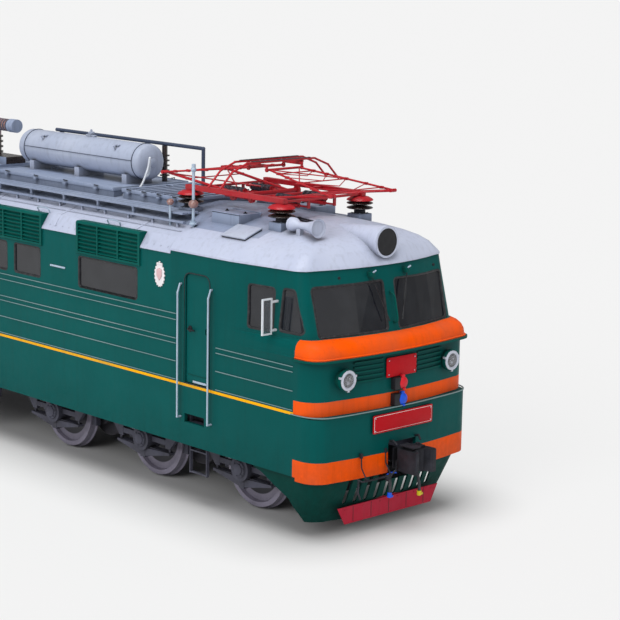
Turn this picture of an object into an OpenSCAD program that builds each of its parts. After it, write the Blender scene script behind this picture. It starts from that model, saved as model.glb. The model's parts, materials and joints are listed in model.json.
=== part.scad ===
// Six-axle mainline electric locomotive with a cab at each end.
// X runs along the locomotive with the front at +X, and Z is up.
// Heights are given above the rail top; the wheel flanges reach below it.

/* [Body] */
// Length over the two end aprons
body_length = 19840; // [19000:20:23900]
// Width of the body shell
body_width = 3160; // [3000:20:3800]
// Length of one cab section with its entrance
cab_length = 3220; // [3100:20:3600]
// Bottom edge of the side skirts
skirt_bottom = 912; // [880:4:950]
// Bottom edge of the end aprons
apron_bottom = 860; // [840:5:900]
// Top of the floor
floor_top = 1800; // [1780:5:1820]
// Roof edge over the machine room
roof_edge = 3700; // [3690:5:3710]
// Roof edge over the cabs
cab_roof_edge = 3750; // [3740:5:3760]
// Crown of the roof
roof_crown = 4280; // [4270:5:4300]
// Thickness of side walls and cab walls
wall = 60; // [40:5:70]
// Thickness of the roof
roof_wall = 50; // [40:5:60]
// Thickness of window glass
glass = 10; // [6:1:16]
// Sill height of the windscreens
screen_sill = 2842; // [2842:1:2860]
// Height of the machine room windows
window_height = 490; // [400:10:500]

/* [Doors] */
// Width of a cab door leaf
door_width = 520; // [430:5:540]
// Height of a cab door leaf
door_height = 1610; // [1500:10:1640]
// Thickness of a cab door leaf
door_thick = 50; // [36:2:56]
// Gap around a door leaf
door_gap = 8; // [6:1:10]

/* [Bogies] */
// Setback of a bogie's centre from the apron
bogie_setback = 4410; // [4350:10:4500]
// Spacing of the axles in a bogie
axle_spacing = 2300; // [2250:10:2400]
// Diameter of the wheel tread
wheel_dia = 1250; // [1040:5:1260]
// Depth of the wheel flange below the tread
flange_depth = 30; // [26:1:32]
// Distance between the inner faces of a wheel pair
wheel_back = 1440; // [1430:1:1450]
// Width of a wheel rim
rim_width = 140; // [130:1:145]
// Diameter of the axle
axle_dia = 190; // [160:5:230]
// Diameter of the journals in the axle boxes
journal_dia = 160; // [130:5:180]
// Diameter of the bogie's pivot pin
pivot_dia = 300; // [240:10:340]

/* [Pantographs] */
// Setback of a pantograph's centre from the apron
panto_setback = 2720; // [2700:10:2760]
// Length of a pantograph arm between its pivots
arm_length = 1650; // [1600:10:1690]
// Half the distance between the two shafts of a pantograph
shaft_half = 200; // [180:10:220]
// Height of the shafts above the rail
shaft_height = 4500; // [4490:5:4510]
// Height of the head pivots when folded
folded_height = 4900; // [4880:5:4920]

/* [Roof gear] */
// Diameter of a roof tank
tank_dia = 570; // [460:10:600]
// Length of a roof tank
tank_length = 3360; // [2800:20:3400]

/* [Hidden] */

$fn = 48;
// Clearance of pieces that seat on each other
seat = 0.3;
// Overshoot of a cut past the face it opens
cut = 50;

half_w = body_width / 2;
cab_end = body_length / 2;
cab_rear = cab_end - cab_length;
bogie_x = cab_end - bogie_setback;
panto_x = cab_end - panto_setback;
wheel_r = wheel_dia / 2;
flange_r = wheel_r + flange_depth;
pilot_bottom = 170;

// Colours of the finishes
green = "#005a54";
roof_grey = "#c9cfe0";
gear_grey = "#8f9bb5";
red = "#be1e2d";
dark = "#3c3c48";
black = "#1c1c22";
steel = "#827d8c";
pale = "#9fb3c8";
porcelain = "#4a2a24";

// Lifts what is drawn above the rail top so that the flanges touch the ground
module on_rail() {
    translate([0, 0, flange_depth]) children();
}

// Draws the front end's piece again at the rear, turned half way round
module both_ends() {
    for (turn = [0, 180])
        rotate(turn) children();
}

// Draws a piece on the right and, mirrored, on the left
module both_sides() {
    for (side = [0, 1])
        mirror([0, side, 0]) children();
}

// A box given by its lowest and highest corners
module box(low, high) {
    translate(low) cube(high - low);
}

// A straight rod between two points
module rod(from, to, r) {
    along = to - from;
    turn_y = acos(along[2] / norm(along));
    turn_z = atan2(along[1], along[0]);
    translate(from) rotate([0, turn_y, turn_z]) cylinder(r = r, h = norm(along));
}

// Extra points on a smooth curve through a route
function smooth_route(p, steps = 4) = let (last = len(p) - 1)
    concat([for (i = [0:last - 1], k = [0:steps - 1])
        let (t = k / steps, a = p[max(i - 1, 0)], b = p[i], c = p[i + 1], d = p[min(i + 2, last)])
        0.5 * (2 * b + (c - a) * t + (2 * a - 5 * b + 4 * c - d) * t * t + (3 * b - a - 3 * c + d) * t * t * t)],
    [p[last]]);

// A round hose along points that stay close to a plane across Y
module hose(points, r) {
    sides = 12;
    last = len(points) - 1;
    rings = [for (i = [0:last])
        let (along = points[min(i + 1, last)] - points[max(i - 1, 0)],
            u = cross([0, 1, 0], along) / norm(cross([0, 1, 0], along)),
            v = cross(along, u) / norm(along))
        for (k = [0:sides - 1]) points[i] + r * (cos(360 * k / sides) * u + sin(360 * k / sides) * v)];
    skin = [for (i = [0:last - 1], k = [0:sides - 1])
        let (a = i * sides + k, b = i * sides + (k + 1) % sides)
        each [[a, a + sides, b + sides], [a, b + sides, b]]];
    polyhedron(points = rings, faces = concat(skin,
        [[for (k = [0:sides - 1]) k]], [[for (k = [sides - 1:-1:0]) last * sides + k]]));
}
// A ball where rods meet, a little thicker than they are
module joint_ball(at, r) {
    translate(at) sphere(r = r + 2);
}

// A rod along Y
module bar_y(x, z, y1, y2, r) {
    rod([x, y1, z], [x, y2, z], r);
}

// An outline in X and Z given a thickness from y1 to y2
module plate_xz(y1, y2) {
    translate([0, y2, 0]) rotate([90, 0, 0]) linear_extrude(y2 - y1) children();
}

// An outline in Y and Z given a thickness from x1 to x2
module plate_yz(x1, x2) {
    translate([x1, 0, 0]) rotate([90, 0, 90]) linear_extrude(x2 - x1) children();
}

// A four-sided outline with rounded corners, its corners listed counter-clockwise
module round_quad(corners, r, grow = 0) {
    centre = (corners[0] + corners[1] + corners[2] + corners[3]) / 4;
    hull()
        for (corner = corners)
            translate(corner + [corner[0] > centre[0] ? -r : r, corner[1] > centre[1] ? -r : r])
                circle(r = r + grow, $fn = 16);
}

// A closed solid through rings of points that are stacked upwards
module loft(rings) {
    n = len(rings[0]);
    last = len(rings) - 1;
    points = [for (ring = rings) each ring];
    sides = [for (k = [0:last - 1], i = [0:n - 1])
        let (j = (i + 1) % n)
        each [[k * n + i, (k + 1) * n + i, (k + 1) * n + j], [k * n + i, (k + 1) * n + j, k * n + j]]];
    bottom = [for (i = [0:n - 1]) i];
    top = [for (i = [n - 1:-1:0]) last * n + i];
    polyhedron(points = points, faces = concat([bottom], sides, [top]));
}

// A shell between an outer and an inner stack of rings, open at the bottom
module shell_loft(outer, inner) {
    n = len(outer[0]);
    last = len(outer) - 1;
    first_in = len(outer) * n;
    last_in = len(inner) - 1;
    points = [for (ring = concat(outer, inner)) each ring];
    outside = [for (k = [0:last - 1], i = [0:n - 1])
        let (j = (i + 1) % n)
        each [[k * n + i, (k + 1) * n + i, (k + 1) * n + j], [k * n + i, (k + 1) * n + j, k * n + j]]];
    inside = [for (k = [0:last_in - 1], i = [0:n - 1])
        let (j = (i + 1) % n, a = first_in + k * n)
        each [[a + n + j, a + n + i, a + i], [a + j, a + n + j, a + i]]];
    foot = [for (i = [0:n - 1])
        let (j = (i + 1) % n)
        each [[i, j, first_in + j], [i, first_in + j, first_in + i]]];
    top = [for (i = [n - 1:-1:0]) last * n + i];
    ceiling = [for (i = [0:n - 1]) first_in + last_in * n + i];
    polyhedron(points = points, faces = concat(outside, inside, foot, [top], [ceiling]));
}

// ---- Body shell ----

// Where the cab's upper walls begin to narrow towards the front
taper_x = cab_end - 1920;

// Rings of the cab wall: height, half width at the back, half width at the front,
// setback of the middle, bow of the front, radius of the corners
cab_levels = [
    [apron_bottom, half_w, half_w, 0, 110, 300],
    [1770, half_w, half_w, 0, 110, 300],
    [1790, half_w, half_w, 70, 110, 340],
    [2560, half_w, half_w, 70, 110, 340],
    [2578, half_w, half_w + 10, 15, 110, 260],
    [2598, half_w, half_w + 10, 15, 110, 260],
    [2610, half_w, half_w, 30, 110, 270],
    [2690, half_w, half_w - 4, 35, 120, 270],
    [2750, half_w, half_w - 18, 60, 130, 270],
    [2795, half_w, half_w - 45, 105, 145, 260],
    [2824, half_w, half_w - 80, 165, 165, 250],
    [2838, half_w, half_w - 104, 198, 185, 230],
    [3557, half_w, half_w - 136, 348, 205, 220],
    [cab_roof_edge, half_w, half_w - 146, 387, 205, 220]];

// Rings of the cab roof, in the same terms
roof_levels = [
    [cab_roof_edge, half_w + 14, half_w - 128, 370, 205, 235],
    [cab_roof_edge + 26, half_w + 10, half_w - 132, 376, 205, 235],
    [cab_roof_edge + 60, half_w - 22, half_w - 160, 400, 200, 230],
    [3930, half_w - 130, half_w - 265, 470, 190, 240],
    [4020, half_w - 300, half_w - 400, 560, 180, 260],
    [4090, half_w - 480, half_w - 560, 690, 170, 260],
    [4160, half_w - 690, half_w - 760, 960, 130, 240],
    [4220, half_w - 930, half_w - 990, 1250, 90, 200],
    [4260, half_w - 1250, half_w - 1290, 1500, 50, 150],
    [roof_crown, 40, 30, 1750, 10, 20]];

// One half of a ring, from the back to the middle of the front
function half_ring(level, inset, back) =
    let (s0 = max(level[1] - inset, 12),
        s1 = max(level[2] - inset, 10),
        xc = cab_end - level[3] - inset,
        r = min(max(level[5] - inset, 20), s1 * 0.6),
        xk = xc - level[4])
    concat([[back, s0], [min(taper_x, xk - r - 200), s0]],
        [for (a = [90:-15:0]) [xk - r + r * cos(a), s1 - r + r * sin(a)]],
        [for (t = [0.75, 0.5, 0.25]) [xc - level[4] * t * t, (s1 - r) * t]]);

// A whole ring, counter-clockwise seen from above
function cab_ring(level, inset, drop, back) =
    let (half = half_ring(level, inset, back), n = len(half))
    concat([for (p = half) [p[0], -p[1], level[0] - drop]],
        [[cab_end - level[3] - inset, 0, level[0] - drop]],
        [for (i = [n - 1:-1:0]) [half[i][0], half[i][1], level[0] - drop]]);

// The cab wall's solid form, moved in by an inset
module cab_form(inset = 0, back = cab_rear) {
    loft([for (level = cab_levels) cab_ring(level, inset, 0, back)]);
}

// The hollow of the cab wall
module cab_hollow(inset) {
    low = cab_levels[0];
    high = cab_levels[len(cab_levels) - 1];
    lowest = concat([low[0] - cut], [for (i = [1:5]) low[i]]);
    highest = concat([high[0] + cut], [for (i = [1:5]) high[i]]);
    loft([for (level = concat([lowest], cab_levels, [highest])) cab_ring(level, inset, 0, cab_rear - cut)]);
}

// The cab roof's solid form
module roof_form(inset = 0, drop = 0, back = cab_rear) {
    loft([for (level = roof_levels) cab_ring(level, inset, drop, back)]);
}

// Corners of the right windscreen as seen along X, as Y and Z
screen_corners = [[-1297, screen_sill - 8], [-94, screen_sill], [-94, 3557], [-1307, 3532]];
// Corners of the cab's side windows as X and Z
pane_back = cab_end - 1580;
side_pane_1 = [[pane_back, 2850], [pane_back + 510, 2850], [pane_back + 510, 3490], [pane_back, 3490]];
side_pane_2 = [[pane_back + 600, 2880], [pane_back + 1060, 2880], [pane_back + 880, 3505],
    [pane_back + 635, 3505]];

// The window holes of one cab, which the glass fills with a small clearance
module cab_windows(grow) {
    both_sides() {
        plate_yz(cab_end - 1000, cab_end + cut) round_quad(screen_corners, 60, grow);
        plate_xz(-half_w - 100, -half_w + 420) round_quad(side_pane_1, 60, grow);
        plate_xz(-half_w - 100, -half_w + 420) round_quad(side_pane_2, 60, grow);
    }
}

// Place of the cab doors
door_x = cab_end - 2870;
door_bottom = floor_top + 50;
hinge_y = half_w - 20 - door_thick;

// Outline of a cab door with rounded upper corners, as X and Z
module door_outline(grow) {
    corner_r = 90;
    hull() {
        translate([door_x - grow, door_bottom - grow]) square([door_width + 2 * grow, 100]);
        for (x = [door_x + corner_r, door_x + door_width - corner_r])
            translate([x, door_bottom + door_height - corner_r]) circle(r = corner_r + grow, $fn = 20);
    }
}

// Lamp places on the front
lamp_y = 1052;
lamp_z = 2290;
lamp_r = 135;

// Opening in the apron for the coupler, as Y and Z
coupler_z = 1060;
module coupler_notch() {
    polygon([[-270, 700], [-270, 1290], [290, 1290], [300, 1110], [640, apron_bottom + 10], [660, 700]]);
}

// Hinge heights of the cab doors
hinge_heights = [door_bottom + 160, door_bottom + door_height - 250];
hinge_pin_r = 8;

// One cab wall shell, drawn for the front end
module cab_shell() {
    difference() {
        cab_form();
        cab_hollow(wall);
        // The side skirts end higher than the apron
        box([cab_rear - cut, -half_w - cut, apron_bottom - cut], [cab_end - 520, half_w + cut,
            skirt_bottom]);
        cab_windows(0);
        both_sides() {
            plate_xz(-half_w - 40, -half_w + 200) door_outline(door_gap);
            // Toe hole below the door
            box([door_x - 20, -half_w - 40, 1250], [door_x + 420, -half_w + 200, 1380]);
            // Hole for the marker lamp
            rod([cab_end - 400, -lamp_y, lamp_z], [cab_end + 50, -lamp_y, lamp_z], lamp_r + seat);
        }
        plate_yz(cab_end - 400, cab_end + cut) coupler_notch();
    }
    // Brackets and pins that carry the doors
    both_sides()
        for (z = hinge_heights) {
            box([door_x - 70, -half_w + wall - 5, z], [door_x - door_gap - 6, -hinge_y + 40, z + 40]);
            difference() {
                box([door_x - door_gap - 10, -hinge_y + 6, z], [door_x + 12, -hinge_y + 40, z + 40]);
                box([door_x - 100, -half_w, z - 1], [door_x + 100, -hinge_y + 5.9, z + 41]);
            }
            translate([door_x - 1, -hinge_y + 22, z + 39]) cylinder(r = hinge_pin_r, h = 60);
        }
}

module front_cab() {
    color(green) on_rail() cab_shell();
}

module rear_cab() {
    color(green) on_rail() rotate(180) cab_shell();
}

// A cab door leaf for the front right corner, with its hinge knuckles
module door_leaf() {
    difference() {
        plate_xz(-hinge_y - door_thick, -hinge_y) door_outline(0);
        // Recess of the handle
        box([door_x + door_width - 110, -hinge_y - door_thick - 1, 2610],
            [door_x + door_width - 40, -hinge_y - door_thick + 14, 2690]);
    }
    for (z = hinge_heights)
        difference() {
            union() {
                translate([door_x - 1, -hinge_y + 22, z + 40 + seat]) cylinder(r = 18, h = 46);
                box([door_x + 2, -hinge_y - 1, z + 40 + seat], [door_x + 60, -hinge_y + 22, z + 86 + seat]);
            }
            translate([door_x - 1, -hinge_y + 22, z + 30]) cylinder(r = hinge_pin_r + seat, h = 80);
        }
    // Inner lever
    box([door_x + door_width - 90, -hinge_y - 1, 2630], [door_x + door_width - 70, -hinge_y + 30, 2650]);
}

module front_right_door() {
    color(green) on_rail() door_leaf();
}

module front_left_door() {
    color(green) on_rail() mirror([0, 1, 0]) door_leaf();
}

module rear_right_door() {
    color(green) on_rail() mirror([1, 0, 0]) door_leaf();
}

module rear_left_door() {
    color(green) on_rail() rotate(180) door_leaf();
}

// Machine room windows: start and end, measured back from the end of the side wall
side_windows = [[2240, 770], [3952, 3221], [4860, 4129]];
// Louvre banks in the same terms
louvre_banks = [[2260, 700], [4750, 3170]];
louvre_bottom = 3420;
louvre_top = 3930;
window_sill = 2895;

// The window holes of the right side wall
module wall_windows(grow) {
    for (side = [0, 1], place = side_windows)
        mirror([side, 0, 0])
            plate_xz(-half_w - cut, -half_w + 200)
                round_quad([[cab_rear - place[0], window_sill], [cab_rear - place[1], window_sill],
                    [cab_rear - place[1], window_sill + window_height],
                    [cab_rear - place[0], window_sill + window_height]], 50, grow);
}

// The room that the louvre banks of the right side take up
module louvre_room(grow) {
    for (side = [0, 1], bank = louvre_banks)
        mirror([side, 0, 0])
            box([cab_rear - bank[0] - grow, -half_w - 60, louvre_bottom - grow],
                [cab_rear - bank[1] + grow, -half_w + 130 + grow, louvre_top + grow]);
}

module side_wall() {
    difference() {
        box([-cab_rear, -half_w, skirt_bottom], [cab_rear, -half_w + wall, roof_edge]);
        wall_windows(0);
        louvre_room(seat);
    }
}

module right_side_wall() {
    color(green) on_rail() side_wall();
}

module left_side_wall() {
    color(green) on_rail() mirror([0, 1, 0]) side_wall();
}

// Half profile of the roof as Y and Z, from the edge to the crown
function roof_profile(inset) = [[half_w + 14 - inset, roof_edge], [half_w + 8 - inset, roof_edge + 24],
    [half_w - 130 - inset, 3930 - inset * 0.5], [half_w - 380 - inset * 0.4, 4020 - inset],
    [half_w - 795 - inset * 0.2, 4200 - inset], [0, roof_crown - inset]];

module roof_outline(inset) {
    half = roof_profile(inset);
    polygon(concat([for (p = half) [-p[0], p[1]]], [for (i = [len(half) - 2:-1:0]) half[i]]));
}

module main_roof() {
    color(roof_grey) on_rail() difference() {
        plate_yz(-cab_rear, cab_rear) roof_outline(0);
        plate_yz(-cab_rear - cut, cab_rear + cut) union() {
            roof_outline(roof_wall);
            translate([-half_w + wall, roof_edge - cut]) square([2 * (half_w - wall), cut + 20]);
        }
        both_sides() louvre_room(seat);
    }
}

module cab_roofs() {
    last = len(roof_levels) - 1;
    inner = concat([cab_ring(roof_levels[0], wall + 14, 0, cab_rear + roof_wall)],
        [for (i = [2:last]) cab_ring(roof_levels[i], roof_wall, roof_wall, cab_rear + roof_wall)]);
    color(roof_grey) on_rail() both_ends()
        shell_loft([for (level = roof_levels) cab_ring(level, 0, 0, cab_rear)], inner);
}

// A bulkhead behind the entrance and the back wall of the cab, each with a doorway
module cab_partitions() {
    inner = half_w - wall - seat;
    top = cab_roof_edge - 60;
    color("#b9b7a6") on_rail() both_ends()
        for (x = [cab_rear + 60, cab_end - 2100])
            difference() {
                box([x, -inner, floor_top], [x + 40, inner, top]);
                box([x - cut, -325, floor_top + 2], [x + cut + 40, 325, floor_top + 1850]);
            }
}

module window_glass() {
    color("#15171c") on_rail() {
        both_ends() intersection() {
            difference() {
                cab_form(22);
                cab_hollow(22 + glass);
            }
            cab_windows(-seat);
        }
        both_sides() intersection() {
            box([-cab_rear, -half_w + 22, window_sill - cut],
                [cab_rear, -half_w + 22 + glass, window_sill + window_height + cut]);
            wall_windows(-seat);
        }
    }
}

module louvres() {
    slats = 7;
    columns = 3;
    color(green) on_rail() both_sides()
        for (side = [0, 1], bank = louvre_banks)
            mirror([side, 0, 0]) {
                x1 = cab_rear - bank[0];
                x2 = cab_rear - bank[1];
                face = half_w + 25;
                back = half_w - 128;
                difference() {
                    // A thin casing that steps back over the roof edge
                    plate_yz(x1, x2)
                        polygon([[-face, louvre_bottom + 12], [-face, louvre_top - 24],
                            [-face + 24, louvre_top], [-back, louvre_top], [-back, roof_edge + 60],
                            [-half_w + wall, roof_edge], [-half_w + wall, louvre_bottom],
                            [-face + 12, louvre_bottom]]);
                    pitch = (x2 - x1 - 60) / columns;
                    for (column = [0:columns - 1])
                        box([x1 + 30 + column * pitch + 15, -face - 1, louvre_bottom + 40],
                            [x1 + 30 + (column + 1) * pitch - 15, -face + 45, louvre_top - 40]);
                }
                // Slats that lean outwards
                slat_pitch = (louvre_top - louvre_bottom - 90) / slats;
                for (i = [0:slats - 1])
                    plate_yz(x1 + 36, x2 - 36)
                        translate([-face + 44, louvre_bottom + 52 + i * slat_pitch])
                            polygon([[0, slat_pitch * 0.55], [-36, 8], [-36, 0], [4, slat_pitch * 0.45],
                                [4, slat_pitch * 0.55]]);
            }
}

// ---- Underframe ----

underframe_bottom = 1400;
jack_z = 1365;
jack_x = 1750;
bolster_bottom = 1380;
sill_y = half_w - wall - 150;
bogie_top = 1320;
bearer_y = 1080;
coupler_reach = 480;

// The floor plate of one cab, inside its walls
module cab_floor() {
    level = cab_levels[2];
    ring = cab_ring(level, wall + seat, 0, cab_rear);
    translate([0, 0, floor_top - 60])
        linear_extrude(60) polygon([for (p = ring) [p[0], p[1]]]);
}

// Behind the headstock an opening passes the coupler's shank
module headstock() {
    x = cab_end - 560;
    difference() {
        box([x, -1250, 960], [x + 90, 1250, floor_top - 60]);
        box([x - cut, -190, coupler_z - 150], [x + cut + 90, 190, coupler_z + 150]);
    }
    // Brackets of the brake pipes
    for (side = [-1, 1])
        box([x, side * hose_y - 50, hose_z - 50], [x + 30, side * hose_y + 50, 961]);
    // Draft gear housing
    difference() {
        box([x - 620, -260, coupler_z - 190], [x, 260, coupler_z + 190]);
        box([x - 560, -190, coupler_z - 150], [x + cut, 190, coupler_z + 150]);
    }
    for (y = [-260, 220])
        box([x - 620, y, coupler_z + 190], [x - 300, y + 40, floor_top - 60]);
}

module underframe() {
    color(dark) on_rail() {
        box([-cab_rear, -half_w + wall + seat, floor_top - 60], [cab_rear, half_w - wall - seat,
            floor_top]);
        for (side = [-1, 1])
            box([-cab_end + 700, side * sill_y - 75, underframe_bottom],
                [cab_end - 700, side * sill_y + 75, floor_top - 60]);
        // Cross members between the bogies
        for (x = [-1800, -600, 600, 1800])
            box([x - 60, -sill_y, underframe_bottom + 60], [x + 60, sill_y, floor_top - 60]);
        both_ends() {
            cab_floor();
            headstock();
            box([cab_end - 700, -sill_y - 75, underframe_bottom], [cab_end - 470, sill_y + 75,
                floor_top - 60]);
            // Body bolster with its pivot pin and side bearers
            box([bogie_x - 400, -sill_y, bolster_bottom], [bogie_x + 400, sill_y, floor_top - 60]);
            translate([bogie_x, 0, 1130]) cylinder(d = pivot_dia, h = 260);
            for (x = [-250, 250], side = [-1, 1])
                translate([bogie_x + x, side * bearer_y, bogie_top + 0.5])
                    cylinder(r = 90, h = bolster_bottom - bogie_top);
        }
        // Jacking pads
        for (x = [-jack_x, jack_x], side = [-1, 1])
            box([x - 130, side * sill_y - 110, jack_z], [x + 130, side * sill_y + 75,
                underframe_bottom + 1]);
    }
}

module transformer() {
    color("#6d7078") on_rail() box([-1300, -800, floor_top], [1300, 800, floor_top + 1500]);
}

module battery_boxes() {
    color(dark) on_rail() both_sides() {
        difference() {
            box([-1450, -half_w + wall + 40, 520], [1450, -half_w + wall + 560, 1340]);
            // Lid seams
            for (x = [-730, 730])
                box([x - 8, -half_w, 560], [x + 8, -half_w + wall + 52, 1300]);
        }
        // Hangers to the underframe
        for (x = [-1200, 0, 1200])
            box([x - 40, -sill_y - 60, 1339], [x + 40, -sill_y + 60, underframe_bottom - seat]);
    }
}

// Front of the driver's footwell
desk_x = cab_end - 960;

module driver_desks() {
    color("#5a6a60") on_rail() both_ends()
        plate_xz(-1250, 1250)
            polygon([[desk_x, floor_top], [desk_x + 420, floor_top], [desk_x + 520, 2640],
                [desk_x + 480, 2780], [desk_x + 380, 2780], [desk_x - 60, 2560], [desk_x - 60, 2520],
                [desk_x, 2500]]);
}

module driver_seats() {
    color("#4a3528") on_rail() both_ends()
        for (side = [-1, 1])
            translate([cab_end - 1550, side * 760, floor_top]) {
                cylinder(r = 45, h = 440);
                cylinder(r = 170, h = 25);
                box([-220, -220, 430], [220, 220, 530]);
                box([-260, -210, 500], [-170, 210, 1020]);
            }
}

// ---- Ends ----

// Rings of the pilot below the apron, in the terms of the cab's rings
pilot_levels = [
    [pilot_bottom + 30, half_w - 130, half_w - 250, 290, 130, 330],
    [420, half_w - 60, half_w - 160, 240, 120, 320],
    [apron_bottom - 1, half_w - wall - 1, half_w - 66, 90, 110, 300],
    [1000, half_w - wall - 1, half_w - 66, 90, 110, 300]];
pilot_wall = 30;
slot_width = 80;
slot_pitch = 185;
guard_x = cab_end - pilot_levels[1][3] + seat;

module pilots() {
    color(green) on_rail() both_ends() {
        difference() {
            loft([for (level = pilot_levels) cab_ring(level, 0, 0, cab_rear)]);
            loft([for (level = concat([concat([0], [for (i = [1:5]) pilot_levels[0][i]])], pilot_levels,
                [concat([1100], [for (i = [1:5]) pilot_levels[3][i]])]))
                cab_ring(level, pilot_wall, 0, cab_rear - cut)]);
            // The sides sweep down towards the front
            plate_xz(-half_w - cut, half_w + cut)
                polygon([[0, 0], [0, 1200], [cab_end - 1440, 1200], [cab_end - 1440, 870],
                    [cab_end - 1280, 830], [cab_end - 1040, 710], [cab_end - 770, 530],
                    [cab_end - 640, 300], [cab_end - 560, 0]]);
            // Upright slots
            for (i = [-4.5:1:4.5])
                plate_yz(cab_end - 600, cab_end + cut)
                    hull()
                        for (z = [480, 800])
                            translate([i * slot_pitch, z]) circle(d = slot_width, $fn = 16);
            plate_yz(cab_end - 600, cab_end + cut) coupler_notch();
        }
        // Arms back to the headstock
        for (side = [-1, 1])
            box([cab_end - 470 + seat, side * 800 - 40, 965], [cab_end - 148, side * 800 + 40, 990]);
        // Rail guard plate
        plate_yz(guard_x, guard_x + 16)
            polygon([[-1020, 420], [-880, pilot_bottom], [880, pilot_bottom], [1020, 420]]);
    }
}

module couplers() {
    color(black) on_rail() both_ends() translate([cab_end + coupler_reach, 0, coupler_z]) {
        // Head with its large tooth, small tooth and throat
        translate([0, 0, -160]) linear_extrude(320)
            polygon([[-460, -110], [-380, -190], [-170, -205], [-10, -205], [0, -190], [0, -150],
                [-40, -110], [-130, -95], [-150, -60], [-150, 30], [-120, 70], [-20, 110], [0, 140],
                [0, 200], [-50, 235], [-190, 235], [-380, 160], [-460, 110]]);
        // Guard arm above the throat and rib below
        box([-330, -120, 160], [-170, 150, 195]);
        box([-400, -60, -230], [-330, 60, -160]);
        // Shank
        box([-1180, -75, -85], [-455, 75, 85]);
        box([-1180, seat - 190, seat - 150], [-1120, 190 - seat, 150 - seat]);
        // Knuckle plates
        box([-480, -185, -150], [-460, 185, 150]);
    }
}

module marker_lamps() {
    color(gear_grey) on_rail() both_ends() both_sides() {
        x = cab_end - 50;
        difference() {
            union() {
                rod([x - 190, -lamp_y, lamp_z], [x, -lamp_y, lamp_z], lamp_r);
                rod([x - 40, -lamp_y, lamp_z], [x + 10, -lamp_y, lamp_z], lamp_r + 22);
            }
            rod([x - 60, -lamp_y, lamp_z], [x + 40, -lamp_y, lamp_z], lamp_r - 22);
            cab_form(-seat);
        }
        difference() {
            rod([x - 160, -lamp_y, lamp_z], [x, -lamp_y, lamp_z], lamp_r);
            rod([x - 60, -lamp_y, lamp_z], [x + 40, -lamp_y, lamp_z], lamp_r - 22);
        }
        rod([x - 60, -lamp_y, lamp_z], [x - 20, -lamp_y, lamp_z], lamp_r - 22);
    }
}

headlamp_x = cab_end - 384;
headlamp_z = 4067;
headlamp_r = 225;

module headlamps() {
    color(roof_grey) on_rail() both_ends() {
        difference() {
            translate([headlamp_x, 0, headlamp_z]) rotate([0, -90, 0]) cylinder(r1 = headlamp_r,
                r2 = 175, h = 900);
            roof_form(-seat, -seat);
            translate([headlamp_x - 50, 0, headlamp_z]) rotate([0, 90,
                0]) cylinder(r = headlamp_r - 30, h = 100);
        }
        translate([headlamp_x - 50, 0, headlamp_z]) rotate([0, 90, 0]) cylinder(r = headlamp_r - 30,
            h = 22);
    }
}

horn_x = cab_end - 890;
horn_y = -850;
horn_z = 4272;

module horns() {
    color(pale) on_rail() both_ends() translate([horn_x, horn_y, horn_z]) {
        rotate([0, -90, 0]) rotate_extrude()
            polygon([[0, 40], [40, 60], [55, 120], [75, 60], [112, 14], [130, 0], [136, 0], [120, 30],
                [90, 120], [60, 240], [50, 380], [70, 430], [100, 480], [100, 560], [60, 600],
                [0, 620]]);
        // Foot on the roof
        difference() {
            box([-420, -35, -230], [-340, 35, -40]);
            translate([-horn_x, -horn_y, -horn_z]) roof_form(-seat, -seat);
        }
    }
}

module handrails() {
    r = 14;
    stand = 75;
    low = 1290;
    high = 3290;
    color(pale) on_rail() both_ends() both_sides()
        for (x = [door_x - 100, door_x + door_width + 60]) {
            rod([x, -half_w - stand, low + 30], [x, -half_w - stand, high - 120], r);
            joint_ball([x, -half_w - stand, low + 30], r);
            joint_ball([x, -half_w - stand, high - 120], r);
            rod([x, -half_w - stand, high - 120], [x, -half_w - 30, high], r);
            rod([x, -half_w - 30, high], [x, -half_w - seat, high], r);
            joint_ball([x, -half_w - 30, high], r);
            rod([x, -half_w - stand, low + 30], [x, -half_w - seat, low + 30], r);
        }
}

module entry_steps() {
    outer = half_w - wall - 25;
    color(dark) on_rail() both_ends() both_sides() {
        for (x = [door_x + 10, door_x + 380]) {
            box([x - 8, -outer, 470], [x + 8, -outer + 50, 1420]);
            box([x - 8, -outer - 24.7, 1000], [x + 8, -outer + 1, 1100]);
        }
        for (z = [480, 810])
            box([door_x + 17.9, -outer, z], [door_x + 372.1, -outer + 50, z + 20]);
        // Floor of the toe hole
        box([door_x + 17.9, -outer, 1225], [door_x + 372.1, -outer + 90, 1245]);
    }
}

module wind_deflectors() {
    x = cab_end - 1020;
    color("#d9e1ea") on_rail() both_ends() {
        both_sides() {
            difference() {
                box([x - 12, -half_w - 195, 2850], [x + 12, -half_w - 12, 3360]);
                box([x - 20, -half_w - 172, 2873], [x + 20, -half_w - 35, 3337]);
            }
            box([x - 4, -half_w - 172.2, 2872.8], [x + 4, -half_w - 34.8, 3337.2]);
        }
        for (side = [-1, 1], z = [2890, 3290])
            difference() {
                box([x - 12, min(side * (half_w + 13), side * (half_w - 200)), z],
                    [x + 12, max(side * (half_w + 13), side * (half_w - 200)), z + 30]);
                cab_form(-seat);
            }
    }
}

// Hoses of the brake pipes, hung from their cocks and hooked back at the free end
hose_y = 1.5 * slot_pitch;
hose_z = 790;
hose_r = 24;
hose_routes = [
    [[cab_end + 20, hose_y, hose_z], [cab_end + 60, hose_y + 2, hose_z - 30], [cab_end + 80,
        hose_y + 10, 660],
        [cab_end + 85, hose_y + 22, 540], [cab_end + 70, hose_y + 34, 450]],
    [[cab_end + 20, -hose_y, hose_z], [cab_end + 50, -hose_y, hose_z - 40], [cab_end + 62, -hose_y - 6,
        640],
        [cab_end + 60, -hose_y - 14, 520]]];

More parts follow.
